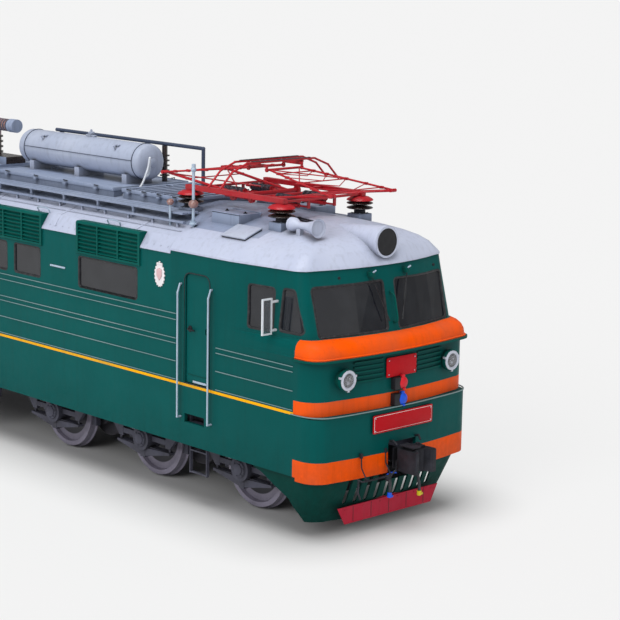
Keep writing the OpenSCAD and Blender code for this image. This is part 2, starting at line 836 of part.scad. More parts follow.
module brake_hoses() {
    color(black) on_rail() both_ends() {
        for (route = hose_routes)
            hose(smooth_route(route), hose_r);
        for (side = [-1, 1]) {
            // End cock on its pipe
            rod([cab_end - 530 + seat, side * hose_y, hose_z], [cab_end + 25, side * hose_y, hose_z], 30);
            rod([cab_end + 20, side * hose_y, hose_z - 45], [cab_end + 20, side * hose_y, hose_z + 45], 42);
        }
    }
}

// ---- Roof gear ----

tank_z = 4710;
tank_r = tank_dia / 2;
tank_end = cab_end - 5580;
saddle_top = 4500;
hatch_top = 4350;

// What lies on the main roof: the outline is cut by the roof's own
module on_roof(x1, x2, y1, y2, top) {
    plate_yz(x1, x2) difference() {
        translate([y1, 3600]) square([y2 - y1, top - 3600]);
        translate([0, seat]) roof_outline(0);
        translate([-half_w - cut, 0]) square([2 * (half_w + cut), 3990]);
    }
}

module roof_tanks() {
    end_curve = 110;
    color(roof_grey) on_rail() both_ends() translate([tank_end - tank_length, 0, tank_z]) {
        rotate([0, 90, 0]) rotate_extrude()
            polygon(concat([[0, 0]],
                [for (a = [15:15:90]) [tank_r * sin(a), end_curve * (1 - cos(a))]],
                [for (a = [90:-15:15]) [tank_r * sin(a), tank_length - end_curve * (1 - cos(a))]],
                [[0, tank_length]]));
        // Saddles
        for (x = [420, tank_length / 2, tank_length - 420])
            difference() {
                box([x - 60, -260, hatch_top + seat - tank_z], [x + 60, 260, saddle_top - tank_z]);
                rotate([0, 90, 0]) cylinder(r = tank_r - 2, h = tank_length);
            }
    }
}

module roof_hatches() {
    color(gear_grey) on_rail() {
        both_ends() {
            on_roof(tank_end - tank_length + 60, tank_end - 60, -750, 750, hatch_top);
            on_roof(tank_end + 120, tank_end + 1600, -700, 700, hatch_top);
            // Hatch boxes by the pantograph
            for (side = [-1, 1])
                difference() {
                    box([panto_x - 300, side * 760 - 210, 3990], [panto_x + 300, side * 760 + 210, 4295]);
                    roof_form(-seat, -seat);
                }
        }
        on_roof(-560, 560, -600, 600, hatch_top);
    }
}

rail_y = half_w - 380;

module roof_rails() {
    posts = 23;
    first = -cab_rear + 300;
    step = 2 * (cab_rear - 300) / (posts - 1);
    color(roof_grey) on_rail() both_sides() {
        box([-cab_rear + 150, -rail_y - 25, 4085], [cab_rear - 150, -rail_y + 25, 4115]);
        for (i = [0:posts - 1])
            on_roof(first + i * step - 15, first + i * step + 15, -rail_y - 15, -rail_y + 15, 4086);
    }
}

insulator_x = 1000;
insulator_y = 785;
base_bottom = 4530;
foot_z = 4262;

// A post with two sheds and a cap under the pantograph base
module post_insulator(bottom) {
    rotate_extrude()
        polygon([[0, bottom], [90, bottom], [90, bottom + 12], [42, bottom + 20], [42, base_bottom - 175],
            [70, base_bottom - 170], [132, base_bottom - 150], [132, base_bottom - 142],
            [70, base_bottom - 125], [70, base_bottom - 105], [132, base_bottom - 88],
            [132, base_bottom - 80], [70, base_bottom - 62], [120, base_bottom - 50],
            [120, base_bottom - 40], [40, base_bottom - seat], [0, base_bottom - seat]]);
}

module pantograph_insulators() {
    color(porcelain) on_rail() both_ends()
        for (x = [-insulator_x, insulator_x], side = [-1, 1])
            translate([panto_x + x, side * insulator_y, 0]) post_insulator(foot_z);
    color(gear_grey) on_rail() both_ends()
        for (side = [-1, 1]) {
            on_roof(panto_x - insulator_x - 110, panto_x - insulator_x + 110,
                side * insulator_y - 110, side * insulator_y + 110, foot_z - seat);
            difference() {
                box([panto_x + insulator_x - 110, side * insulator_y - 110, 3990],
                    [panto_x + insulator_x + 110, side * insulator_y + 110, foot_z - seat]);
                roof_form(-seat, -seat);
            }
        }
}

module roof_conductors() {
    bus_y = 480;
    bus_z = 4960;
    r = 30;
    color(gear_grey) on_rail() both_ends() {
        rod([1100, bus_y, bus_z], [tank_end + 660, bus_y, bus_z], r);
        joint_ball([tank_end + 660, bus_y, bus_z], r);
        rod([tank_end + 660, bus_y, bus_z], [tank_end + 660, bus_y, hatch_top + seat], r);
        for (x = [1250, tank_end - 300])
            translate([x, bus_y, hatch_top + seat]) {
                cylinder(r = 45, h = bus_z - hatch_top - r - 1);
                for (k = [0:4])
                    translate([0, 0, 90 + k * 80]) cylinder(r = 80, h = 18);
            }
    }
    // Poles beside the walkways
    color(gear_grey) on_rail() both_ends()
        translate([cab_rear + 30, 0, 0]) {
            difference() {
                translate([0, -1180, 3990]) cylinder(r = 22, h = 890);
                translate([-cab_rear - 30, 0, 0]) roof_form(-seat, -seat);
            }
            translate([0, -1180, 4900]) sphere(r = 42);
        }
}

module main_breaker() {
    color(porcelain) on_rail() {
        translate([0, 0, hatch_top + seat]) {
            box([-260, -200, 0], [560, 200, 120]);
            for (k = [0:3])
                translate([0, 0, 150 + k * 90]) cylinder(r = 105, h = 30);
            cylinder(r = 75, h = 560);
        }
        translate([-130, 0, 5000]) rotate([0, 90, 0]) {
            cylinder(r = 115, h = 160);
            translate([0, 0, 159]) cylinder(r = 85, h = 420);
            for (k = [0:4])
                translate([0, 0, 190 + k * 75]) cylinder(r = 108, h = 26);
            translate([0, 0, 560]) cylinder(r = 115, h = 180);
        }
    }
}

// ---- Pantographs ----

folded_angle = asin((folded_height - shaft_height) / 2 / arm_length);
knuckle_x = shaft_half + arm_length * cos(folded_angle);
knuckle_z = (folded_height + shaft_height) / 2;
knuckle_y = 589;
lower_y = 480;
upper_y = 300;
shaft_r = 34;
hub_r = 26;
pin_r = 10;
head_z = folded_height;
head_lug_y = 352;
// Raising springs pass below the shafts
spring_z = shaft_height - shaft_r - 30;

// Base frame with its four bearings and the raising springs
module pantograph_base() {
    translate([panto_x, 0, 0]) {
        for (side = [-1, 1])
            box([-insulator_x - 80, side * insulator_y - 40, base_bottom],
                [insulator_x + 80, side * insulator_y + 40, base_bottom + 70]);
        for (x = [-insulator_x, insulator_x])
            box([x - 35, -insulator_y, base_bottom + 5], [x + 35, insulator_y, base_bottom + 34]);
        // Bearings of the shafts
        for (x = [-shaft_half, shaft_half], side = [-1, 1])
            difference() {
                union() {
                    bar_y(x, shaft_height, side * 640 - 25, side * 640 + 25, shaft_r + 26);
                    box([x - 40, side * 640 - 25, shaft_height], [x + 40, side * 640 + 25,
                        base_bottom + 60]);
                    box([x - 40, min(side * 640, side * insulator_y), base_bottom + 10],
                        [x + 40, max(side * 640, side * insulator_y), base_bottom + 60]);
                }
                bar_y(x, shaft_height, side * 640 - 60, side * 640 + 60, shaft_r + seat);
            }
        // Raising springs between the cross members
        for (y = [-260, 260], side = [-1, 1]) {
            rod([side * 330, y, spring_z], [side * (insulator_x - 200), y, spring_z], 34);
            rod([0, y, spring_z], [side * insulator_x, y, spring_z], 14);
            // Lug on the cross member
            box([side * insulator_x - 15, y - 20, spring_z - 20], [side * insulator_x + 15, y + 20,
                base_bottom + 10]);
        }
    }
}

module pantograph_bases() {
    color(red) on_rail() both_ends() pantograph_base();
}

// A lower arm that reaches forward from its shaft to the knuckles
module lower_arm() {
    translate([panto_x, 0, 0]) {
        bar_y(shaft_half, shaft_height, -665 - 10, 665 + 10, shaft_r);
        for (side = [-1, 1]) {
            rod([shaft_half, side * lower_y, shaft_height],
                [knuckle_x, side * (knuckle_y - 19), knuckle_z], 21);
            bar_y(knuckle_x, knuckle_z, side * (knuckle_y - 14) - 26, side * (knuckle_y - 14) + 26, hub_r);
        }
        // Diagonal braces
        rod([shaft_half, -lower_y, shaft_height],
            [shaft_half + 0.93 * (knuckle_x - shaft_half), knuckle_y - 30,
                shaft_height + 0.93 * (knuckle_z - shaft_height)], 11);
        rod([shaft_half, lower_y, shaft_height],
            [shaft_half + 0.93 * (knuckle_x - shaft_half), -knuckle_y + 30,
                shaft_height + 0.93 * (knuckle_z - shaft_height)], 11);
        for (side = [-1, 1])
            bar_y(knuckle_x, knuckle_z, side * (knuckle_y + 30) - 44, side * (knuckle_y + 30) + 44, pin_r);
    }
}

// An upper arm that reaches back from the knuckles to the head
module upper_arm() {
    translate([panto_x, 0, 0]) {
        difference() {
            union() {
                for (side = [-1, 1]) {
                    bar_y(knuckle_x, knuckle_z, side * (knuckle_y + 46) - 26,
                        side * (knuckle_y + 46) + 26, hub_r);
                    rod([knuckle_x, side * (knuckle_y + 46), knuckle_z],
                        [shaft_half, side * upper_y, head_z], 15);
                }
                bar_y(shaft_half, head_z, -head_lug_y - 13, head_lug_y + 13, 18);
                // Brace near the head
                for (side = [-1, 1])
                    rod([shaft_half + 0.5 * (knuckle_x - shaft_half), side * (upper_y + knuckle_y + 46) / 2,
                        (head_z + knuckle_z) / 2], [shaft_half, -side * upper_y, head_z], 9);
            }
            for (side = [-1, 1])
                bar_y(knuckle_x, knuckle_z, side * (knuckle_y + 46) - 60, side * (knuckle_y + 46) + 60,
                    pin_r + seat);
        }
    }
}

strip_x = 130;
strip_z = 5010;

// The head with two contact strips and bent-down horns
module pantograph_head() {
    translate([panto_x, 0, 0]) {
        for (x = [-strip_x, strip_x]) {
            box([x - 25, -680, strip_z - 12], [x + 25, 680, strip_z + 14]);
            for (side = [-1, 1]) {
                rod([x, side * 675, strip_z], [x, side * 960, strip_z - 110], 16);
                joint_ball([x, side * 960, strip_z - 110], 16);
                rod([x, side * 960, strip_z - 110], [x, side * 1190, strip_z - 340], 16);
            }
        }
        for (side = [-1, 1]) {
            // Carriages under the strips, hung on the arms' top tubes
            box([-strip_x - 10, side * 430 - 14, strip_z - 45], [strip_x + 10, side * 430 + 14,
                strip_z - 11]);
            box([-shaft_half - 20, side * head_lug_y - 10, head_z + 34], [shaft_half + 20,
                side * head_lug_y + 10, strip_z - 30]);
            box([-20, min(side * 343, side * 444), strip_z - 46], [20, max(side * 343, side * 444),
                strip_z - 30]);
            difference() {
                union() {
                    bar_y(shaft_half, head_z, side * head_lug_y - 10, side * head_lug_y + 10, 32);
                    box([shaft_half - 16, side * head_lug_y - 10, head_z], [shaft_half + 16,
                        side * head_lug_y + 10, head_z + 40]);
                }
                bar_y(shaft_half, head_z, side * head_lug_y - 20, side * head_lug_y + 20, 18 + seat);
            }
            // Open eye for the second arm
            difference() {
                union() {
                    bar_y(-shaft_half, head_z, side * head_lug_y - 10, side * head_lug_y + 10, 36);
                    box([-shaft_half - 16, side * head_lug_y - 10, head_z], [-shaft_half + 16,
                        side * head_lug_y + 10, head_z + 40]);
                }
                bar_y(-shaft_half, head_z, side * head_lug_y - 20, side * head_lug_y + 20, 18 + 6);
            }
        }
    }
}

module arm_b() {
    translate([2 * panto_x, 0, 0]) mirror([1, 0, 0]) children();
}

module front_panto_lower_arm_a() {
    color(red) on_rail() lower_arm();
}

module front_panto_lower_arm_b() {
    color(red) on_rail() arm_b() lower_arm();
}

module front_panto_upper_arm_a() {
    color(red) on_rail() upper_arm();
}

module front_panto_upper_arm_b() {
    color(red) on_rail() arm_b() upper_arm();
}

module front_panto_head() {
    color(red) on_rail() pantograph_head();
}

module rear_panto_lower_arm_a() {
    color(red) on_rail() rotate(180) lower_arm();
}

module rear_panto_lower_arm_b() {
    color(red) on_rail() rotate(180) arm_b() lower_arm();
}

module rear_panto_upper_arm_a() {
    color(red) on_rail() rotate(180) upper_arm();
}

module rear_panto_upper_arm_b() {
    color(red) on_rail() rotate(180) arm_b() upper_arm();
}

module rear_panto_head() {
    color(red) on_rail() rotate(180) pantograph_head();
}

// ---- Bogies ----

frame_in = 1000;
frame_out = 1170;
frame_bottom = 930;
box_r = 185;
box_in = 905;
box_out = 1190;
spring_y = 1085;
spring_half = 640;
arm_reach = 560;
bracket_foot = 560;

// Bogie frame about its own centre
module bogie_frame() {
    end_x = axle_spacing + flange_r + 60;
    for (side = [-1, 1]) {
        box([-end_x, side * (frame_in + frame_out) / 2 - 85, frame_bottom],
            [end_x, side * (frame_in + frame_out) / 2 + 85, 1240]);
        // Raised middle under the side bearers
        box([-420, side * (frame_in + frame_out) / 2 - 85, 1239], [420,
            side * (frame_in + frame_out) / 2 + 85, bogie_top]);
        // Brackets for the guide arms of the axle boxes
        for (axle = [-1:1], reach = [-1, 1])
            plate_xz(side * spring_y - 30, side * spring_y + 30)
                translate([(axle * axle_spacing) + reach * arm_reach, 0])
                    scale([reach, 1])
                        polygon([[-40, frame_bottom + 20], [330, frame_bottom + 20], [330,
                            frame_bottom - 60],
                            [60, bracket_foot], [-40, bracket_foot]]);
    }
    for (x = [-axle_spacing / 2, axle_spacing / 2])
        box([x - 110, -frame_in - 10, 990], [x + 110, frame_in + 10, 1200]);
    for (x = [-end_x, end_x - 100])
        box([x, -frame_out, frame_bottom], [x + 100, frame_out, 1180]);
    difference() {
        union() {
            for (side = [-1, 1])
                box([-axle_spacing / 2, side * 300 - 110, 1125], [axle_spacing / 2, side * 300 + 110,
                    bogie_top - 20]);
            box([-240, -310, 1125], [240, 310, bogie_top - 20]);
        }
        translate([0, 0, 1000]) cylinder(d = pivot_dia + 10, h = 500);
    }
}

// Axle boxes with guide arms, leaf springs and their hangers, about the bogie's centre
module suspension() {
    for (axle = [-1:1], side = [-1, 1])
        translate([axle * axle_spacing, 0, 0]) {
            y1 = side > 0 ? box_in : -box_out;
            y2 = side > 0 ? box_out : -box_in;
            difference() {
                union() {
                    bar_y(0, wheel_r, y1, y2, box_r);
                    // Cover
                    bar_y(0, wheel_r, side * box_out, side * (box_out + 22), 120);
                    box([-55, side * spring_y - 60, 330], [55, side * spring_y + 60, wheel_r - 100]);
                    for (reach = [-1, 1])
                        box([min(0, reach * (arm_reach - 40 - seat)), side * spring_y - 28, wheel_r - 20],
                            [max(0, reach * (arm_reach - 40 - seat)), side * spring_y + 28, wheel_r + 60]);
                    // Leaf spring, thick in the middle
                    plate_xz(side * spring_y - 55, side * spring_y + 55)
                        polygon([[-spring_half, 505], [-spring_half, 470], [-80, 355], [80, 355],
                            [spring_half, 470], [spring_half, 505], [80, 480], [-80, 480]]);
                }
                bar_y(0, wheel_r, side * 860, side * 1160, journal_dia / 2 + seat);
            }
            // Hangers of the spring
            for (reach = [-1, 1])
                rod([reach * (spring_half - 45), side * spring_y, 502],
                    [reach * (spring_half - 45), side * spring_y, bracket_foot - seat], 20);
        }
}

motor_x = 640;
motor_r = 400;

// Three axle-hung motors with gear cases, about the bogie's centre
module traction_motors() {
    for (axle = [-1:1]) {
        toward = axle > 0 ? -1 : 1;
        translate([axle * axle_spacing, 0, 0]) difference() {
            union() {
                bar_y(toward * motor_x, wheel_r + 20, -520, 520, motor_r);
                bar_y(0, wheel_r, -440, 440, 150);
                box([min(0, toward * motor_x), -440, wheel_r - 140], [max(0, toward * motor_x), 440,
                    wheel_r + 140]);
                for (side = [-1, 1]) {
                    bar_y(0, wheel_r, min(side * 530, side * 660), max(side * 530, side * 660), 430);
                    bar_y(toward * motor_x, wheel_r + 20, min(side * 519, side * 660), max(side * 519,
                        side * 660), 200);
                    box([min(0, toward * motor_x), min(side * 530, side * 660), wheel_r - 170],
                        [max(0, toward * motor_x), max(side * 530, side * 660), wheel_r + 200]);
                }
                // Nose on the cross member
                box([toward * (motor_x + motor_r - 60) - 60, -200, 900],
                    [toward * (motor_x + motor_r - 60) + 60, 200, 1090]);
            }
            bar_y(0, wheel_r, -700, 700, axle_dia / 2 + 5);
        }
    }
}

// Brake blocks, hangers and beams, about the bogie's centre
module brake_gear() {
    block_gap = 8;
    hanger_x = wheel_r + 70;
    tread_y = (wheel_back + rim_width) / 2;
    for (axle = [-1:1], reach = [-1, 1])
        translate([axle * axle_spacing, 0, 0]) {
            for (side = [-1, 1]) {
                difference() {
                    box([reach > 0 ? wheel_r - 60 : -wheel_r - 90, side * tread_y - 45, wheel_r - 170],
                        [reach > 0 ? wheel_r + 90 : -wheel_r + 60, side * tread_y + 45, wheel_r + 150]);
                    bar_y(0, wheel_r, side * tread_y - 60, side * tread_y + 60, wheel_r + block_gap);
                    bar_y(0, wheel_r, side * (wheel_back / 2 + 25) - 50,
                        side * (wheel_back / 2 + 25) + 50, flange_r + block_gap);
                }
                // Hanger, up to the end beam or to an arm on the cross member
                outward = axle * reach > 0;
                box([reach * hanger_x - 18, side * tread_y - 20, wheel_r + 140],
                    [reach * hanger_x + 18, side * tread_y + 20, outward ? frame_bottom - seat : 1045]);
                if (!outward) {
                    arm_end = axle_spacing / 2 - 110 - seat;
                    box([min(reach * hanger_x, reach * arm_end), side * tread_y - 20, 1005],
                        [max(reach * hanger_x, reach * arm_end), side * tread_y + 20, 1045]);
                }
            }
        }
}

// A wheel pair on its axle, about the axle's middle
module wheelset() {
    inner = wheel_back / 2;
    rotate([-90, 0, 0]) translate([0, 0, -1150]) rotate_extrude($fn = 96)
        polygon([[0, 0], [journal_dia / 2, 0], [journal_dia / 2, 262], [axle_dia / 2, 275],
            [axle_dia / 2, 2025], [journal_dia / 2, 2038], [journal_dia / 2, 2300], [0, 2300]]);
    for (side = [-1, 1])
        scale([1, side, 1]) rotate([-90, 0, 0]) rotate_extrude($fn = 96)
            polygon([[axle_dia / 2 - 1, inner - 12], [140, inner - 12], [150, inner + 40],
                [wheel_r - 90, inner + 40],
                [wheel_r - 75, inner], [flange_r - 6, inner], [flange_r, inner + 8], [flange_r, inner + 18],
                [wheel_r + 6, inner + 30], [wheel_r, inner + 40], [wheel_r - 6, inner + rim_width],
                [wheel_r - 75, inner + rim_width], [wheel_r - 90, inner + 78], [155, inner + 78],
                [145, inner + rim_width + 18], [axle_dia / 2 - 1, inner + rim_width + 18]]);
}

module at_bogie(end) {
    translate([end * bogie_x, 0, 0]) children();
}

module front_bogie_frame() {
    color(dark) on_rail() at_bogie(1) bogie_frame();
}

module rear_bogie_frame() {
    color(dark) on_rail() at_bogie(-1) bogie_frame();
}

module front_suspension() {
    color(dark) on_rail() at_bogie(1) suspension();
}

module rear_suspension() {
    color(dark) on_rail() at_bogie(-1) suspension();
}

module front_traction_motors() {
    color(dark) on_rail() at_bogie(1) traction_motors();
}

module rear_traction_motors() {
    color(dark) on_rail() at_bogie(-1) traction_motors();
}

module front_brake_gear() {
    color(dark) on_rail() at_bogie(1) brake_gear();
}

module rear_brake_gear() {
    color(dark) on_rail() at_bogie(-1) brake_gear();
}

module axle_place(end, axle) {
    color(steel) on_rail() translate([end * bogie_x + axle * axle_spacing, 0, wheel_r]) wheelset();
}

module wheelset_1() {
    axle_place(1, 1);
}

module wheelset_2() {
    axle_place(1, 0);
}

module wheelset_3() {
    axle_place(1, -1);
}

module wheelset_4() {
    axle_place(-1, 1);
}

module wheelset_5() {
    axle_place(-1, 0);
}

module wheelset_6() {
    axle_place(-1, -1);
}

underframe();
right_side_wall();
left_side_wall();
front_cab();
rear_cab();
main_roof();
cab_roofs();
cab_partitions();
window_glass();
pilots();
couplers();
marker_lamps();
headlamps();
roof_tanks();
roof_hatches();
roof_rails();
pantograph_insulators();
roof_conductors();
main_breaker();
horns();
transformer();
driver_desks();
driver_seats();
handrails();
louvres();
brake_hoses();
entry_steps();
battery_boxes();
wind_deflectors();
pantograph_bases();
front_right_door();
front_left_door();
rear_right_door();
rear_left_door();
front_bogie_frame();
rear_bogie_frame();
front_suspension();
rear_suspension();
front_traction_motors();
rear_traction_motors();
front_brake_gear();
rear_brake_gear();
wheelset_1();
wheelset_2();
wheelset_3();
wheelset_4();
wheelset_5();
wheelset_6();
front_panto_lower_arm_a();
front_panto_lower_arm_b();
front_panto_upper_arm_a();
front_panto_upper_arm_b();
front_panto_head();
rear_panto_lower_arm_a();
rear_panto_lower_arm_b();
rear_panto_upper_arm_a();
rear_panto_upper_arm_b();
rear_panto_head();
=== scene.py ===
import bmesh
import bpy
import json
import math
from mathutils import Matrix, Vector
from mathutils.bvhtree import BVHTree

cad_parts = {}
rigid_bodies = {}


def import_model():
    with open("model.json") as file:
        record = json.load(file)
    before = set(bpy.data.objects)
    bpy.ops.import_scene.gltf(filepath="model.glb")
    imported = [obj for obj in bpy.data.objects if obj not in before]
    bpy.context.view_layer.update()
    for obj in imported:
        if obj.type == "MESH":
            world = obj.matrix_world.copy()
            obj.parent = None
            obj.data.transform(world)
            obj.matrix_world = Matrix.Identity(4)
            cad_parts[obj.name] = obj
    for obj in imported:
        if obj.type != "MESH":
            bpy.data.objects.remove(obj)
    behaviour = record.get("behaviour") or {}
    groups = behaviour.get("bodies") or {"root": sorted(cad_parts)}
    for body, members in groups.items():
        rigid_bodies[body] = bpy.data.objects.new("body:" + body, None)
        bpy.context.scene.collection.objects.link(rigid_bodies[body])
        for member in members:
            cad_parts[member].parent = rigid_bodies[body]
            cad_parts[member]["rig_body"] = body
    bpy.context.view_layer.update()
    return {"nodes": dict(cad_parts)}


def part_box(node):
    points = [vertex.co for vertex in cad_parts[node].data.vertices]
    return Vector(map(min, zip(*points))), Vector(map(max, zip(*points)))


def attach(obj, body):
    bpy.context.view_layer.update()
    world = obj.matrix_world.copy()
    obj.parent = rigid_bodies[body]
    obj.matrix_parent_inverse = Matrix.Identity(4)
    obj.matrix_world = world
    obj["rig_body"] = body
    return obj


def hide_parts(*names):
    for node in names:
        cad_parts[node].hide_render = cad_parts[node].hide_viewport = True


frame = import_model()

railTop = 0.03          # the flanges stand on the floor, the rail head would be this high
halfWidth = 1.58
bogieX = 5.51
axleSpacing = 2.3
pantoX = 7.2
ends = (1, -1)          # front and rear, or left and right
endNames = ((1, "front"), (-1, "rear"))
doorNames = ("front_right_door", "front_left_door", "rear_right_door", "rear_left_door")
scene = bpy.context.scene


# Small tools

def linear(hexColour, alpha=1.0):
    parts = [int(hexColour[i:i + 2], 16) / 255 for i in (1, 3, 5)]
    return [p / 12.92 if p < 0.04045 else ((p + 0.055) / 1.055) ** 2.4 for p in parts] + [alpha]


def add(tree, kind, inputs=None, **settings):
    made = tree.nodes.new(kind)
    for key, value in settings.items():
        setattr(made, key, value)
    for socket, value in (inputs or {}).items():
        target = made.inputs[socket]
        if isinstance(value, bpy.types.NodeSocket):
            tree.links.new(value, target)
        else:
            target.default_value = value
    return made


def around(steps, closed=0):
    # even angles round a full turn
    return [2 * math.pi * k / steps for k in range(steps + closed)]


# Shading

def newFinish(name):
    made = bpy.data.materials.new(name)
    made.use_nodes = True
    tree = made.node_tree
    return made, tree, tree.nodes["Principled BSDF"], add(tree, "ShaderNodeTexCoord").outputs["Object"]


def noiseOf(tree, place, scale, detail=3.0, rough=0.55, stretch=(1, 1, 1)):
    # noise between 0 and 1 with a real size: scale is features a metre
    turned = add(tree, "ShaderNodeMapping", {"Vector": place, "Scale": stretch})
    return add(tree, "ShaderNodeTexNoise", {"Vector": turned.outputs[0], "Scale": scale,
                                            "Detail": detail, "Roughness": rough}).outputs["Fac"]


def ramp(tree, value, low, high, outLow=0.0, outHigh=1.0):
    return add(tree, "ShaderNodeMapRange", {"Value": value, "From Min": low, "From Max": high,
                                            "To Min": outLow, "To Max": outHigh}).outputs[0]


def link(tree, value, shader, socket):
    tree.links.new(value, shader.inputs[socket])


def bumped(tree, shader, height, strength, distance):
    made = add(tree, "ShaderNodeBump", {"Height": height, "Strength": strength, "Distance": distance})
    link(tree, made.outputs[0], shader, "Normal")


def sooted(tree, colour, distance, amount, soot):
    # painted shade where surfaces meet: the colour darkens by the ambient occlusion
    corner = add(tree, "ShaderNodeAmbientOcclusion", {"Distance": distance}, samples=4)
    paintedShadeShare = calc(tree, "MULTIPLY", calc(tree, "SUBTRACT", 1.0, corner.outputs["AO"]), amount)
    return mixed(tree, paintedShadeShare, colour, linear(soot))


def calc(tree, operation, a, b=0.0):
    return add(tree, "ShaderNodeMath", {0: a, 1: b}, operation=operation).outputs[0]


def mixed(tree, share, a, b):
    made = add(tree, "ShaderNodeMix", data_type="RGBA")
    for socket, value in ((made.inputs[0], share), (made.inputs[6], a), (made.inputs[7], b)):
        if isinstance(value, bpy.types.NodeSocket):
            tree.links.new(value, socket)
        else:
            socket.default_value = value
    return made.outputs[2]


def band(tree, value, low, high):
    return calc(tree, "MULTIPLY", calc(tree, "GREATER_THAN", value, low),
                calc(tree, "LESS_THAN", value, high))


# One paint system: base coat, faded patches, rain streaks, road dust low down (for the greens a near-black
# painted shade, darker towards the bottom), painted shade in corners.
# Sizes are in real units: patch is patches a metre, grain is orange peel at about a millimetre,
# drawn coarser so that it still shows at this distance.
paintDefaults = dict(colour="#005a54", faded=None, fade=0.25, patch=0.9, streak=0.12, dust="#55524c",
                     dustTop=1.1, dustAmount=0.18, soot=0.6, rough=0.38, roughSpread=0.16, grain=260.0,
                     grainDepth=0.0006, wave=1.1, waveDepth=0.002, coat=0.06, shine=0.3, metallic=0.0,
                     ior=1.5)


def paint(name, bands=(), **changes):
    v = dict(paintDefaults, **changes)
    made, tree, shader, place = newFinish(name)
    axes = add(tree, "ShaderNodeSeparateXYZ", {0: place})
    x, y, z = axes.outputs
    absX = calc(tree, "ABSOLUTE", x)
    colour = linear(v["colour"])
    for hexColour, zLow, zHigh, xLow, xHigh in bands:
        inside = calc(tree, "MULTIPLY", band(tree, z, zLow, zHigh), band(tree, absX, xLow, xHigh))
        colour = mixed(tree, inside, colour, linear(hexColour))
    cloud = noiseOf(tree, place, v["patch"], 4.0)
    fadedTo = linear(v["faded"] or "#8a9a94")
    colour = mixed(tree, ramp(tree, cloud, 0.42, 0.72, 0.0, v["fade"]), colour, fadedTo)
    streaks = noiseOf(tree, place, 6.0, 3.0, 0.6, (2.2, 2.2, 0.12))
    colour = mixed(tree, ramp(tree, streaks, 0.5, 0.78, 0.0, v["streak"]), colour, linear("#20221f"))
    # towards the bottom the colour mixes into the low colour: road dust, and for the greens a near-black
    # painted shade
    lowDustAndShadeRamp = ramp(tree, z, v["dustTop"], 0.2, 0.0, v["dustAmount"])
    speck = noiseOf(tree, place, 14.0, 5.0, 0.7)
    overlayShare = calc(tree, "MULTIPLY", lowDustAndShadeRamp, ramp(tree, speck, 0.3, 0.7, 0.35, 1.0))
    colour = mixed(tree, overlayShare, colour, linear(v["dust"]))
    # painted shade: the colour darkens where surfaces meet, from the ambient occlusion
    if v["soot"] > 0:
        colour = sooted(tree, colour, 0.16, v["soot"], "#1b1a19")
    link(tree, colour, shader, "Base Color")
    gloss = calc(tree, "ADD", v["rough"], ramp(tree, noiseOf(tree, place, 9.0, 4.0), 0.3, 0.75,
                                               -0.3 * v["roughSpread"], v["roughSpread"]))
    gloss = calc(tree, "ADD", gloss, calc(tree, "MULTIPLY", overlayShare, 0.4))
    link(tree, gloss, shader, "Roughness")
    shader.inputs["Metallic"].default_value = v["metallic"]
    if v["metallic"] < 0.5:
        shader.inputs["IOR"].default_value = v["ior"]
    shader.inputs["Specular IOR Level"].default_value = v["shine"]
    shader.inputs["Coat Weight"].default_value = v["coat"]
    shader.inputs["Coat Roughness"].default_value = 0.12
    wave = add(tree, "ShaderNodeBump", {"Height": noiseOf(tree, place, v["wave"], 2.0), "Strength": 1.0,
                                        "Distance": v["waveDepth"]})
    peel = add(tree, "ShaderNodeBump", {"Height": noiseOf(tree, place, v["grain"], 2.0), "Strength": 0.5,
                                        "Distance": v["grainDepth"], "Normal": wave.outputs[0]})
    link(tree, peel.outputs[0], shader, "Normal")
    return made


sideBands = [("#ffb608", 1.816, 1.856, 0.0, 9.345)]
cabBands = sideBands + [
    ("#fa5800", 0.80, 1.192, 9.345, 11.0),
    ("#fa5800", 1.824, 2.026, 9.345, 11.0),
    ("#fa5800", 2.612, 2.862, 9.36, 11.0)]

# for the greens the low colour is near black: painted shade, darker towards the bottom
green = dict(shine=0.06, coat=0.015, dust="#0d1413", dustTop=1.5, dustAmount=0.55)
greenEnamel = paint("green_gloss_enamel_body", sideBands, **green, colour="#005351", faded="#076461",
                    fade=0.3)
cabEnamel = paint("green_orange_enamel_cab", cabBands, **green, colour="#00504e", faded="#07605d", fade=0.3)
plainGreen = paint("green_enamel_fittings", **green, colour="#004c46", faded="#0d6058", fade=0.3, soot=0.85)
louvreGreen = paint("louvre_green_enamel", **dict(green, dustAmount=0.1), colour="#00524c", faded="#0f6b60",
                    fade=0.3, soot=0.25)
pilotGreen = paint("green_enamel_pilot", colour="#003f39", faded="#0b4b44", fade=0.3, soot=0.85, rough=0.42,
                   **dict(green, dustTop=1.1, dustAmount=0.6))
roofBands = [("#8d99b3", 4.085, 9.0, 0.0, 8.15)]
roofEnamel = paint("roof_paint_lavender_grey", roofBands, colour="#b9c0d6", faded="#d3d8e8", fade=0.35,
                   streak=0.16,
                   dustAmount=0.0, soot=0.75, rough=0.42, patch=0.7, coat=0.15)
gearEnamel = paint("roof_gear_paint_blue_grey", colour="#8f9cb6", faded="#b9c3d6", fade=0.3, streak=0.2,
                   dustAmount=0.0, soot=0.8, rough=0.45, coat=0.1)
tankEnamel = paint("air_tank_paint_pale_grey", colour="#a9b2c7", faded="#d3d8e5", fade=0.4, streak=0.2,
                   dustAmount=0.0, soot=0.75, rough=0.4, coat=0.1)
barEnamel = paint("roof_bar_paint_dark_blue_grey", colour="#414b60", faded="#5d6880", fade=0.3, streak=0.2,
                  dustAmount=0.0, soot=0.6, rough=0.42)
railEnamel = paint("handrail_paint_pale_blue", colour="#a6b8cc", faded="#cfd9e4", fade=0.3, streak=0.1,
                   dustAmount=0.1, soot=0.4, rough=0.36, patch=6.0)
